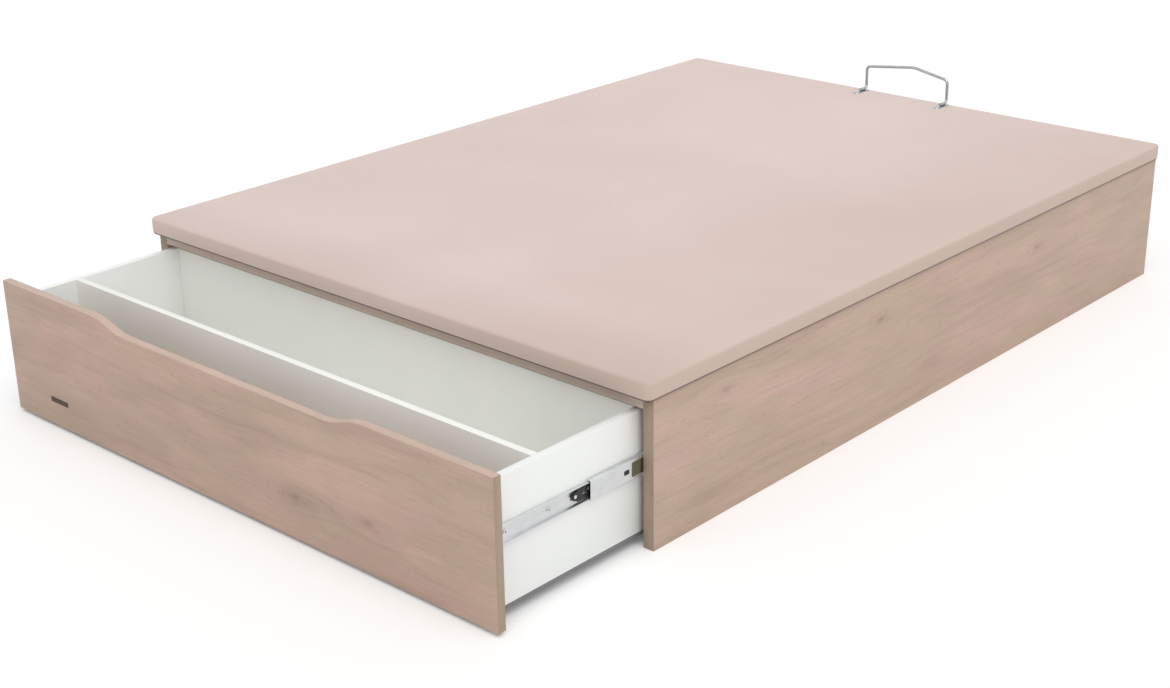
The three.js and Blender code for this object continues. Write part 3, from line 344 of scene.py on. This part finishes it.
oak_edge = oak_finish("oak_upright_edge", 2, 0, (0.0, 0.0, 0.0), EDGE_PINK, EDGE_BEIGE)
oak_top_highlight = oak_finish("oak_top_edge_painted_highlight", 0, 1, (0.5, 0.2, 0.0), TOP_EDGE_HIGHLIGHT_PINK, TOP_EDGE_HIGHLIGHT_BEIGE)
white = white_finish("white_melamine", tone(243, 246, 243), tone(248, 249, 247))
# The drawer's inside pieces: a yellower copy of the white, a painted reflection of light bounced off
# the wood
bounce_tinted_white = white_finish("white_melamine_painted_bounce", tone(245, 246, 241), tone(250, 250, 245))
fabric = fabric_finish()
zinc = metal_finish("zinc_plate", tone(214, 216, 218), tone(224, 226, 227), 0.3, 0.42, 24.0)
bright = metal_finish("bright_plate", tone(170, 173, 176), tone(192, 194, 197), 0.14, 0.24)
painted = painted_finish()
fibre = fibre_finish()
black = plastic_finish("black_plastic", tone(22, 22, 24), tone(34, 34, 37))
brown = plastic_finish("brown_plate", tone(56, 40, 32), tone(72, 52, 42))
# Olive of the ball cage, which also stands in for shade in the slide's mouth
olive_and_shade = plastic_finish("olive_plastic_and_shade", tone(84, 80, 64), tone(104, 99, 80))
# Grey of the painted shadow strips under the drawer sides
shadow_grey = plastic_finish("painted_shadow_grey", tone(112, 114, 115), tone(128, 130, 130))


# Pieces


def place_piece(name, mesh, body, materials):
    """A piece of the object from its name, its mesh, its body and its materials."""
    piece = bpy.data.objects.new(name, mesh)
    bpy.context.scene.collection.objects.link(piece)
    for material in materials:
        mesh.materials.append(material)
    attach(piece, body)
    return piece


def finished_mesh(name, work, smooth_angle=35):
    """The mesh of a bmesh, smooth across every edge flatter than the angle."""
    mesh = bpy.data.meshes.new(name)
    bmesh.ops.recalc_face_normals(work, faces=work.faces)
    work.to_mesh(mesh)
    work.free()
    mesh.shade_smooth()
    mesh.set_sharp_from_angle(angle=math.radians(smooth_angle))
    return mesh


def node_shape(node):
    """The closed shape of a CAD node, with its flat faces whole and its corners shared."""
    source = frame["nodes"][node].data
    work = bmesh.new()
    corners = [work.verts.new(vertex.co) for vertex in source.vertices]
    for polygon in source.polygons:
        work.faces.new([corners[i] for i in polygon.vertices])
    bmesh.ops.remove_doubles(work, verts=work.verts, dist=5e-6)
    flat = math.radians(0.5)
    bmesh.ops.dissolve_limit(work, angle_limit=flat, verts=work.verts, edges=work.edges)
    return work


def soften(work, width, segments=2, angle=40):
    """Rounds every edge sharper than the angle."""
    limit = math.radians(angle)
    sharp = [e for e in work.edges if len(e.link_faces) == 2 and e.calc_face_angle(0) > limit]
    bmesh.ops.bevel(
        work,
        geom=sharp,
        offset=width,
        segments=segments,
        profile=0.5,
        affect="EDGES",
        clamp_overlap=False,
    )


def dressed(node, body, materials, width=0.0003, choose=None):
    """A CAD node's shape with softened edges, which stands for the node. Choose gives the place
    in the list of materials that a face takes by its normal."""
    work = node_shape(node)
    soften(work, width)
    if choose:
        work.normal_update()
        for face in work.faces:
            face.material_index = choose(face.normal)
    mesh = finished_mesh("dressed_" + node, work)
    piece = place_piece("dressed_" + node, mesh, body, materials)
    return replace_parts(piece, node)


def by_axis(axis):
    """Broad faces take the first finish, and the edges of the board the second."""
    return lambda normal: 0 if abs(normal[axis]) > 0.7 else 1


def front_faces(normal):
    """The first finish for the drawer front's broad faces, the third, paler as a painted highlight,
    for its top edge, and the second for the rest."""
    if abs(normal.y) > 0.7:
        return 0
    return 2 if normal.z > 0.5 else 1


def dress_boards():
    """Boards of the carcass and the drawer, with their edges rounded as edge banding is."""
    edged = 0.0006
    panel = [oak_long, oak_edge]
    for name in SIDES:
        dressed(f"side_panel_{name}", "carcass", panel, edged, by_axis(0))
        dressed(f"drawer_side_{name}", "drawer", [white], edged)
        dressed(f"floor_board_{name}", "carcass", [white], edged)
        dressed(f"floor_cleat_{name}", "carcass", [fibre], edged)
    dressed("head_panel", "carcass", [oak_wide, oak_edge], edged, by_axis(1))
    for node in ("foot_top_rail", "partition_top_rail", "foot_bottom_rail"):
        dressed(node, "carcass", [oak_rail], edged)
    dressed("drawer_bay_partition", "carcass", [white], edged)
    dressed("floor_beam", "carcass", [fibre], edged)
    front = [oak_wide, oak_edge, oak_top_highlight]
    dressed("drawer_front", "drawer", front, edged, front_faces)
    # Inside pieces of the drawer take the white with the painted bounce tint
    for node in ("drawer_back", "drawer_bottom", "drawer_divider"):
        dressed(node, "drawer", [bounce_tinted_white], edged)


def dress_metal():
    """Angles, lift mechanism, slides and the lid's frame, with the board on it."""
    plate_edge = 0.0004
    sheet_edge = 0.0002
    tube_edge = 0.0005
    for name in SIDES:
        for end in ("head", "foot"):
            dressed(f"corner_bracket_{end}_{name}", "carcass", [zinc])
        dressed(f"hinge_plate_{name}", "carcass", [zinc], plate_edge)
        dressed(f"lid_bracket_{name}", "lid", [zinc], plate_edge)
        dressed(f"rear_arm_{name}", f"rear_arm_body_{name}", [zinc], plate_edge)
        lever_body = f"front_lever_body_{name}"
        dressed(f"front_lever_{name}", lever_body, [zinc], plate_edge)
        cylinder_body = f"gas_cylinder_body_{name}"
        dressed(f"gas_cylinder_{name}", cylinder_body, [painted])
        dressed(f"gas_rod_{name}", f"gas_rod_body_{name}", [bright])
        dressed(f"slide_cabinet_member_{name}", "carcass", [zinc], sheet_edge)
        middle_body = f"slide_middle_{name}"
        dressed(f"slide_middle_member_{name}", middle_body, [zinc], sheet_edge)
        dressed(f"slide_drawer_member_{name}", "drawer", [zinc], sheet_edge)
        release_body = f"release_lever_body_{name}"
        dressed(f"slide_release_lever_{name}", release_body, [black], plate_edge)
        dressed(f"lid_side_tube_{name}", "lid", [painted], tube_edge)
    tubes = ["lid_foot_tube", "lid_head_tube", *[f"lid_cross_tube_{i}" for i in range(1, 5)]]
    for node in tubes:
        dressed(node, "lid", [painted], tube_edge)
    dressed("lid_board", "lid", [fibre], tube_edge)


# Upholstery of the lid


def rounded_ring(low, high, inset, radius, z, steps=8, runs=40):
    """Points round a rectangle at a height, inset from its corners, with rounded corners."""
    points = []
    middle = (low + high) / 2
    half_x = (high.x - low.x) / 2 - inset - radius
    half_y = (high.y - low.y) / 2 - inset - radius
    for quarter, (sx, sy) in enumerate(((1, 1), (-1, 1), (-1, -1), (1, -1))):
        centre = Vector((middle.x + sx * half_x, middle.y + sy * half_y, z))
        for i in range(steps + 1):
            angle = (quarter + i / steps) * RIGHT_ANGLE
            points.append(centre + Vector((math.cos(angle), math.sin(angle), 0)) * radius)
        following = ((-1, 1), (-1, -1), (1, -1), (1, 1))[quarter]
        end = Vector((middle.x + following[0] * half_x, middle.y + following[1] * half_y, z))
        angle = (quarter + 1) * RIGHT_ANGLE
        reach = Vector((math.cos(angle), math.sin(angle), 0)) * radius
        for i in range(1, runs):
            points.append((centre + reach).lerp(end + reach, i / runs))
    return points


def skin_rings(work, rings):
    """Joins rings of as many points each into a tube of quads, and gives their vertices back."""
    made = [[work.verts.new(point) for point in ring] for ring in rings]
    count = len(made[0])
    for lower, upper in zip(made, made[1:]):
        for i in range(count):
            after = (i + 1) % count
            work.faces.new((lower[i], lower[after], upper[after], upper[i]))
    return made


def lid_upholstery():
    """Fabric over thin foam, in one piece: a soft rolled upper edge, sides that draw in a little
    at the bottom, and the shell's inside against the steel frame."""
    low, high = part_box("lid_top_pad")
    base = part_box("lid_border_foot")[0].z
    top = high.z
    corner = 0.014
    least = 0.006
    wall = 0.005
    roll = 0.008
    crown = 0.0008
    # Each ring's inset, its corners' radius and its height
    rings = [
        (wall, 0.001, top - wall),
        (wall, 0.001, base),
        (0.0032, corner - 0.0032, base),
        (0.0018, corner - 0.0018, base + 0.0010),
        (0.0010, corner - 0.0010, base + 0.0035),
        (0.0004, corner - 0.0004, base + 0.0090),
        (0.0000, corner, base + 0.0180),
    ]
    for i in range(1, 9):
        angle = i / 8 * RIGHT_ANGLE
        inset = roll * (1 - math.cos(angle))
        height = top - crown - roll + roll * math.sin(angle)
        rings.append((inset, max(least, corner - inset), height))
    for inset, rise in ((0.012, 0.3), (0.020, 0.6), (0.040, 0.85), (0.080, 1.0)):
        rings.append((inset, least, top - crown * (1 - rise)))
    work = bmesh.new()
    points = [rounded_ring(low, high, inset, radius, z) for inset, radius, z in rings]
    made = skin_rings(work, points)
    work.faces.new(made[0])
    work.faces.new(made[-1])
    mesh = finished_mesh("lid_upholstery", work, smooth_angle=60)
    piece = place_piece("lid_upholstery", mesh, "lid", [fabric])
    borders = [f"lid_border_{end}" for end in ("left", "right", "head", "foot")]
    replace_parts(piece, "lid_top_pad", *borders)


# Mattress retainer


def bent_path(points, radius, steps=8):
    """A line through the points with each inner corner rounded."""
    path = [points[0]]
    for before, corner, after in zip(points, points[1:], points[2:]):
        reach = min(radius, (before - corner).length * 0.48, (after - corner).length * 0.48)
        start = corner + (before - corner).normalized() * reach
        end = corner + (after - corner).normalized() * reach
        for i in range(steps + 1):
            share = i / steps
            path.append(start.lerp(corner, share).lerp(corner.lerp(end, share), share))
    path.append(points[-1])
    return path


def sweep(name, path, radius, sides=16):
    """A round rod along a path, with closed ends."""
    work = bmesh.new()
    rings = []
    side_way = None
    for i, point in enumerate(path):
        ahead = (path[min(i + 1, len(path) - 1)] - path[max(i - 1, 0)]).normalized()
        if side_way is None:
            side_way = ahead.orthogonal().normalized()
        side_way = (side_way - ahead * side_way.dot(ahead)).normalized()
        up = ahead.cross(side_way)
        ring = []
        for k in range(sides):
            angle = 2 * math.pi * k / sides
            ring.append(point + (side_way * math.cos(angle) + up * math.sin(angle)) * radius)
        rings.append(ring)
    made = skin_rings(work, rings)
    work.faces.new(made[0])
    work.faces.new(made[-1])
    return finished_mesh(name, work, smooth_angle=50)


def disc(work, centre, axis, radius, thickness, dome=0.0, sides=28):
    """A round head that stands on a point along an axis, with a rounded rim."""
    turn = axis.to_track_quat("Z", "Y").to_matrix()
    soft = min(thickness, radius) * 0.35
    levels = [(radius * 0.96, 0.0), (radius, soft * 0.4), (radius, thickness - soft)]
    levels += [(radius - soft * 0.3, thickness - soft * 0.3), (radius - soft, thickness)]
    if dome:
        levels += [(radius * 0.55, thickness + dome * 0.7), (radius * 0.25, thickness + dome)]
    rings = []
    for reach, rise in levels:
        ring = []
        for k in range(sides):
            angle = 2 * math.pi * k / sides
            spot = Vector((reach * math.cos(angle), reach * math.sin(angle), rise))
            ring.append(centre + turn @ spot)
        rings.append(ring)
    made = skin_rings(work, rings)
    work.faces.new(made[0])
    work.faces.new(made[-1])


def cross_slot(work, centre, axis, size, depth):
    """The cross recess of a screw's head, as two thin dark bars that lie on its face."""
    turn = axis.to_track_quat("Z", "Y").to_matrix()
    for long_x, long_y in ((1.0, 0.22), (0.22, 1.0)):
        half = Vector((size * long_x, size * long_y, 0))
        corners = []
        for z in (0.0, depth):
            for sx, sy in ((-1, -1), (1, -1), (1, 1), (-1, 1)):
                corners.append(work.verts.new(centre + turn @ Vector((sx * half.x, sy * half.y, z))))
        work.faces.new([corners[i] for i in (0, 3, 2, 1)])
        work.faces.new([corners[i] for i in (4, 5, 6, 7)])
        for i in range(4):
            after = (i + 1) % 4
            work.faces.new([corners[k] for k in (i, after, after + 4, i + 4)])


def screws(name, places, axis, body, radius=0.0042, height=0.0018):
    """Pan-head screws at several places, as one piece, with their dark recesses."""
    work = bmesh.new()
    for place in places:
        disc(work, place, axis, radius, height, height * 0.35)
    head_count = len(work.faces)
    for place in places:
        cross_slot(work, place + axis * height * 1.2, axis, radius * 0.5, height * 0.2)
    work.faces.ensure_lookup_table()
    for face in work.faces[head_count:]:
        face.material_index = 1
    mesh = finished_mesh(name, work, smooth_angle=45)
    return place_piece(name, mesh, body, [zinc, black])


def mattress_retainer():
    """Bright rod bent into a low arch, its crown a little off the middle, and welded to two tabs
    that are screwed down through the fabric."""
    low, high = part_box("mattress_retainer")
    rod = 0.004
    bend = 0.011
    tab_width = 0.020
    tab_length = 0.062
    tab_thickness = 0.003
    tab_corner = 0.0085
    tab_rim = 0.0006
    screw_offset = 0.0186
    leg_height = 0.068
    crest = 0.0195
    crown_shift = 0.022
    half = (high.x - low.x) / 2 - tab_width / 2
    line = high.y - rod
    foot = line - tab_length / 2
    base = low.z
    lying = base + tab_thickness + rod
    points = []
    for side in (-1, 1):
        leg = [
            Vector((side * half, foot, lying)),
            Vector((side * half, line, lying)),
            Vector((side * half, line, base + leg_height)),
        ]
        points.append(leg)
    crown = Vector((crown_shift, line, base + leg_height + crest))
    path = bent_path([*points[0], crown, *reversed(points[1])], bend)
    mesh = sweep("retainer_rod", path, rod)
    piece = place_piece("retainer_rod", mesh, "lid", [bright])
    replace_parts(piece, "mattress_retainer")
    for name, side in SIDES.items():
        work = bmesh.new()
        centre = Vector((side * half, high.y - tab_length / 2, 0))
        size = Vector((tab_width, tab_length, 0)) / 2
        rings = []
        for inset, rise in ((0.0, 0.0), (0.0, tab_thickness * 0.7), (tab_rim, tab_thickness)):
            corners = (centre - size, centre + size)
            rings.append(rounded_ring(*corners, inset, tab_corner, base + rise, runs=2))
        made = skin_rings(work, rings)
        work.faces.new(made[0])
        work.faces.new(made[-1])
        mesh = finished_mesh(f"retainer_tab_{name}", work, smooth_angle=30)
        tab = place_piece(f"retainer_tab_{name}", mesh, "lid", [bright])
        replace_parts(tab, "mattress_retainer")
        spot = Vector((side * half, centre.y - screw_offset, base + tab_thickness))
        screw = f"retainer_screw_{name}"
        screws(screw, [spot], Vector((0, 0, 1)), "lid", radius=0.0052, height=0.002)


# Small parts of the slides, the mechanism and the drawer


def turned_ring(work, centre, axis, profile, sides=32):
    """A ring about an axis through a point, from its closed profile of radii and places along."""
    turn = axis.to_track_quat("Z", "Y").to_matrix()
    rings = []
    for radius, along in profile:
        ring = []
        for k in range(sides):
            angle = 2 * math.pi * k / sides
            spot = Vector((radius * math.cos(angle), radius * math.sin(angle), along))
            ring.append(work.verts.new(centre + turn @ spot))
        rings.append(ring)
    for inner, outer in zip(rings, rings[1:] + rings[:1]):
        for k in range(sides):
            after = (k + 1) % sides
            work.faces.new((inner[k], inner[after], outer[after], outer[k]))


def washers(name, places, axis, body, finish, radii, thickness):
    """Flat rings of steel or plastic at several places, as one piece, with an inner and an outer
    radius."""
    work = bmesh.new()
    bore, radius = radii
    soft = thickness * 0.25
    profile = (
        (bore, 0.0),
        (radius, 0.0),
        (radius, thickness - soft),
        (radius - soft, thickness),
        (bore + soft, thickness),
        (bore, thickness - soft),
    )
    for place in places:
        turned_ring(work, place, axis, profile)
    return place_piece(name, finished_mesh(name, work), body, [finish])


def rounded_plate(name, low, high, out, body, slot, finish, rise, corner):
    """A thin plate with rounded corners on a face across X, from the face outwards."""
    work = bmesh.new()
    middle = (low + high) / 2
    outline = []
    for quarter, (sy, sz) in enumerate(((1, 1), (-1, 1), (-1, -1), (1, -1))):
        for i in range(5):
            angle = (quarter + i / 4) * RIGHT_ANGLE
            y = middle.y + sy * ((high.y - low.y) / 2 - corner) + corner * math.cos(angle)
            z = middle.z + sz * ((high.z - low.z) / 2 - corner) + corner * math.sin(angle)
            outline.append((y, z))
    rings = [[Vector((low.x + out * step, y, z)) for y, z in outline] for step in (0, rise)]
    made = skin_rings(work, rings)
    work.faces.new(made[0])
    work.faces.new(made[-1])
    soften(work, rise * 0.3, 1)
    return place_piece(name, finished_mesh(name, work), body, [finish])


def slide_fittings():
    """Screws, the lever's rivet, the black stop and the ball cage with its end on each slide."""
    web_thickness = 0.0014
    screw_setback = 0.036
    screw_count = 4
    lever_eye = 0.008
    plate_rise = 0.0005
    plate_corner = 0.002
    for name, side in SIDES.items():
        low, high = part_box(f"slide_drawer_member_{name}")
        outward = Vector((side, 0, 0))
        web = (high.x if side < 0 else low.x) + side * web_thickness
        middle = (low.z + high.z) / 2
        first = low.y + screw_setback
        pitch = (high.y - screw_setback - first) / (screw_count - 1)
        places = [Vector((web, first + i * pitch, middle)) for i in range(screw_count)]
        piece = f"slide_drawer_screws_{name}"
        screws(piece, places, outward, "drawer", radius=0.0044, height=0.0014)
        lever_low, lever_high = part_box(f"slide_release_lever_{name}")
        work = bmesh.new()
        face = lever_high.x if side > 0 else lever_low.x
        pivot = Vector((face, lever_low.y + lever_eye, middle))
        disc(work, pivot, outward, radius=0.0036, thickness=0.0004, dome=0.0002)
        mesh = finished_mesh(f"slide_lever_rivet_{name}", work)
        place_piece(f"slide_lever_rivet_{name}", mesh, "drawer", [zinc])
        low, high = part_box(f"slide_middle_member_{name}")
        web = high.x if side > 0 else low.x
        body = f"slide_middle_{name}"
        # The ball cage and its end plate are real slide parts; their dark olive and brown also stand
        # in for the shade in the cabinet member's mouth, partly painted shade
        fittings = (
            ("stop", black, low.y + 0.0915, 0.014, 0.0045),
            ("ball_cage", olive_and_shade, low.y + 0.1130, 0.024, 0.0145),
            ("cage_end", brown, low.y + 0.1370, 0.017, 0.0145),
        )
        for kind, finish, start, length, half in fittings:
            corners = (
                Vector((web, start, middle - half)),
                Vector((web, start + length, middle + half)),
            )
            piece = f"slide_{kind}_{name}"
            look = (body, "black_plastic", finish)
            rounded_plate(piece, *corners, side, *look, plate_rise, plate_corner)


def drawer_shadow_strips():
    """Dark grey strip under the lower edge of each drawer side, a painted shadow that stands in for
    the shade beneath it.
    """
    height = 0.0090
    rim = 0.0006
    end_gap = 0.001
    for name in SIDES:
        low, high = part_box(f"drawer_side_{name}")
        work = bmesh.new()
        rings = []
        for inset, drop in ((rim, height), (0.0, height - rim), (0.0, 0.0)):
            ring = []
            for sx, sy in ((1, 1), (-1, 1), (-1, -1), (1, -1)):
                x = (high.x if sx > 0 else low.x) - sx * inset
                y = (high.y if sy > 0 else low.y) - sy * (inset + end_gap)
                ring.append(Vector((x, y, low.z - drop)))
            rings.append(ring)
        made = skin_rings(work, rings)
        work.faces.new(made[0])
        work.faces.new(made[-1])
        piece = f"drawer_shadow_strip_{name}"
        place_piece(piece, finished_mesh(piece, work), "drawer", [shadow_grey])


def lift_fittings():
    """Fixings of the lift mechanism. Places are given as the distance from the head board's outer
    face, the height, and the inset from the side board."""
    inner_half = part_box("side_panel_right")[0].x
    head_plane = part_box("head_panel")[1].y
    plate_face = 0.003
    bracket_face = 0.018
    lever_pin_face = 0.0158
    gas_stud_face = 0.0283
    gas_axis_inset = 0.022
    gas_mouth = 0.1953
    bolt_radii = (0.0060, 0.0105)
    seal_radii = (0.0044, 0.0078)
    front_base_pivot = (0.438, 0.234)
    rear_lid_pivot = (0.122, 0.262)
    front_lid_pivot = (0.156, 0.288)
    gas_base_pivot = (0.700, 0.130)
    lever_tail_pivot = (0.438, 0.124)
    flush_places = ((0.462, 0.120), (0.422, 0.250))
    pan_places = ((0.660, 0.130), (0.580, 0.128))
    bolt_places = ((0.094, 0.324), (0.167, 0.324), (0.240, 0.324))

    def spot(side, place, inset):
        from_head, height = place
        return Vector((side * (inner_half - inset), head_plane - from_head, height))

    for name, side in SIDES.items():
        inward = Vector((-side, 0, 0))
        flush = [spot(side, place, plate_face) for place in flush_places]
        piece = f"hinge_flush_screws_{name}"
        screws(piece, flush, inward, "carcass", radius=0.0058, height=0.0003)
        proud = [spot(side, place, plate_face) for place in pan_places]
        piece = f"hinge_pan_screws_{name}"
        screws(piece, proud, inward, "carcass", radius=0.0060, height=0.0024)
        hinge_ends = ((front_base_pivot, lever_pin_face), (gas_base_pivot, gas_stud_face))
        bracket_ends = ((rear_lid_pivot, bracket_face), (front_lid_pivot, bracket_face))
        tail_end = ((lever_tail_pivot, gas_stud_face),)
        domes = (
            ("hinge_rivets", "carcass", hinge_ends),
            ("lever_rivet", f"front_lever_body_{name}", tail_end),
            ("bracket_rivets", "lid", bracket_ends),
        )
        for kind, body, places in domes:
            work = bmesh.new()
            for place, inset in places:
                centre = spot(side, place, inset)
                disc(work, centre, inward, radius=0.0058, thickness=0.0012, dome=0.0008)
            mesh = finished_mesh(f"{kind}_{name}", work, smooth_angle=45)
            place_piece(f"{kind}_{name}", mesh, body, [zinc])
        bolts = [spot(side, place, bracket_face) for place in bolt_places]
        piece = f"bracket_washers_{name}"
        washers(piece, bolts, inward, "lid", zinc, bolt_radii, thickness=0.0012)
        base = spot(side, gas_base_pivot, gas_axis_inset)
        axis = (spot(side, lever_tail_pivot, gas_axis_inset) - base).normalized()
        mouth = [base + axis * gas_mouth]
        body = f"gas_cylinder_body_{name}"
        washers(f"gas_seal_{name}", mouth, axis, body, black, seal_radii, thickness=0.0028)


def fixing_screws():
    """Screws of the corner angles and of the floor boards."""
    up = Vector((0, 0, 1))
    wall = 0.0025
    end_margin = 0.022
    stagger = 0.008
    off_middle = 0.004
    edge_setback = 0.011
    row_setback = 0.05
    row_count = 5
    for name, side in SIDES.items():
        inward = Vector((-side, 0, 0))
        for end, way in (("head", -1), ("foot", 1)):
            low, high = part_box(f"corner_bracket_{end}_{name}")
            face_x = high.x - wall if side > 0 else low.x + wall
            face_y = high.y - wall if way < 0 else low.y + wall
            reach_x = (low.x + high.x) / 2 - side * off_middle
            reach_y = (low.y + high.y) / 2 + way * off_middle
            heights = [low.z + end_margin, (low.z + high.z) / 2, high.z - end_margin]
            side_places = [Vector((face_x, reach_y, z)) for z in heights]
            end_places = [Vector((reach_x, face_y, z + stagger)) for z in heights]
            piece = f"angle_screws_{end}_{name}"
            screws(f"{piece}_side", side_places, inward, "carcass")
            screws(f"{piece}_end", end_places, Vector((0, way, 0)), "carcass")
        low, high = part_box(f"floor_board_{name}")
        edges = (low.x + edge_setback, high.x - edge_setback)
        first = low.y + row_setback
        pitch = (high.y - row_setback - first) / (row_count - 1)
        rows = [first + i * pitch for i in range(row_count)]
        places = [Vector((x, y, high.z)) for x in edges for y in rows]
        screws(f"floor_screws_{name}", places, up, "carcass", radius=0.0040, height=0.0006)


def badge_plate():
    """The bare plate low on the drawer front, where the real one has its badge."""
    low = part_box("drawer_front")[0]
    from_left = 0.167
    height = 0.068
    half = Vector((0.031, 0, 0.0056))
    centre = Vector((low.x + from_left, low.y, height))
    profile = ((0, 0), (0, 0.0006), (0.0004, 0.0009), (0.0013, 0.0009), (0.0017, 0.0005))
    work = bmesh.new()
    rings = []
    for inset, proud in profile:
        ring = []
        for sx, sz in ((1, 1), (-1, 1), (-1, -1), (1, -1)):
            x = centre.x + sx * (half.x - inset)
            ring.append(Vector((x, low.y - proud, centre.z + sz * (half.z - inset))))
        rings.append(ring)
    made = skin_rings(work, rings)
    work.faces.new(made[0])
    work.faces.new(made[-1])
    mesh = finished_mesh("badge_plate", work)
    place_piece("badge_plate", mesh, "drawer", [brown])


# Studio


def studio():
    """The pale floor, which goes on past the edge of the picture."""
    work = bmesh.new()
    reach = FLOOR_REACH
    corners = ((-reach, -reach), (reach, -reach), (reach, reach), (-reach, reach))
    work.faces.new([work.verts.new((x, y, 0)) for x, y in corners])
    mesh = bpy.data.meshes.new("studio_floor")
    work.to_mesh(mesh)
    work.free()
    floor = bpy.data.objects.new("studio_floor", mesh)
    bpy.context.scene.collection.objects.link(floor)
    finish = Finish("studio_floor", Roughness=0.9, Metallic=0.0)
    finish.shader.inputs["Base Color"].default_value = tone(250, 250, 250)
    finish.shader.inputs["Specular IOR Level"].default_value = 0.0
    seen = finish.node("ShaderNodeLightPath").outputs["Is Camera Ray"]
    strength = finish.maths("MULTIPLY", seen, FLOOR_GLOW)
    glow = finish.node("ShaderNodeEmission", {"Strength": strength})
    both = finish.node("ShaderNodeAddShader", {0: finish.shader.outputs[0], 1: glow.outputs[0]})
    output = finish.tree.nodes["Material Output"]
    finish.tree.links.new(both.outputs[0], output.inputs["Surface"])
    mesh.materials.append(finish.material)


def world():
    """A white sky. The camera and reflections see it at full strength."""
    made = bpy.data.worlds.new("studio_world")
    bpy.context.scene.world = made
    made.use_nodes = True
    nodes = made.node_tree.nodes
    links = made.node_tree.links
    background = nodes["Background"]
    background.inputs["Color"].default_value = (1, 1, 1, 1)
    path = nodes.new("ShaderNodeLightPath")
    seen = nodes.new("ShaderNodeMath")
    seen.operation = "MAXIMUM"
    links.new(path.outputs["Is Camera Ray"], seen.inputs[0])
    links.new(path.outputs["Is Glossy Ray"], seen.inputs[1])
    strength = nodes.new("ShaderNodeMapRange")
    strength.inputs["To Min"].default_value = AMBIENT
    strength.inputs["To Max"].default_value = 1.0
    links.new(seen.outputs[0], strength.inputs["Value"])
    links.new(strength.outputs[0], background.inputs["Strength"])


def softbox():
    """The one lamp, broad enough for soft shadows."""
    light = bpy.data.lights.new("softbox", "SUN")
    light.energy = LAMP_STRENGTH
    light.angle = math.radians(LAMP_DEGREES)
    lamp = bpy.data.objects.new("softbox", light)
    lamp.rotation_mode = "QUATERNION"
    lamp.rotation_quaternion = LAMP_WAY.to_track_quat("Z", "Y")
    bpy.context.scene.collection.objects.link(lamp)


def camera():
    """Where the photograph was taken from, as fitted to its edges and corners."""
    azimuth = math.radians(42.39)
    elevation = math.radians(22.13)
    roll = -0.0158
    place = Vector((2.7214, -3.1321, 1.6684))
    focal_pixels = 1857.1
    image_width = 1170
    sensor = 36.0
    back = Vector(
        (
            math.sin(azimuth) * math.cos(elevation),
            -math.cos(azimuth) * math.cos(elevation),
            math.sin(elevation),
        )
    )
    level_right = Vector((math.cos(azimuth), math.sin(azimuth), 0))
    level_up = back.cross(level_right)
    right = level_right * math.cos(roll) + level_up * math.sin(roll)
    up = level_up * math.cos(roll) - level_right * math.sin(roll)
    data = bpy.data.cameras.new("camera")
    data.sensor_width = sensor
    data.lens = focal_pixels / image_width * sensor
    data.clip_end = 200
    item = bpy.data.objects.new("camera", data)
    bpy.context.scene.collection.objects.link(item)
    turn = Matrix((right, up, back)).transposed().to_4x4()
    item.matrix_world = Matrix.Translation(place) @ turn
    bpy.context.scene.camera = item


camera()
dress_boards()
dress_metal()
lid_upholstery()
mattress_retainer()
slide_fittings()
drawer_shadow_strips()
lift_fittings()
fixing_screws()
badge_plate()
studio()
world()
softbox()
bpy.context.scene.view_settings.view_transform = "Standard"
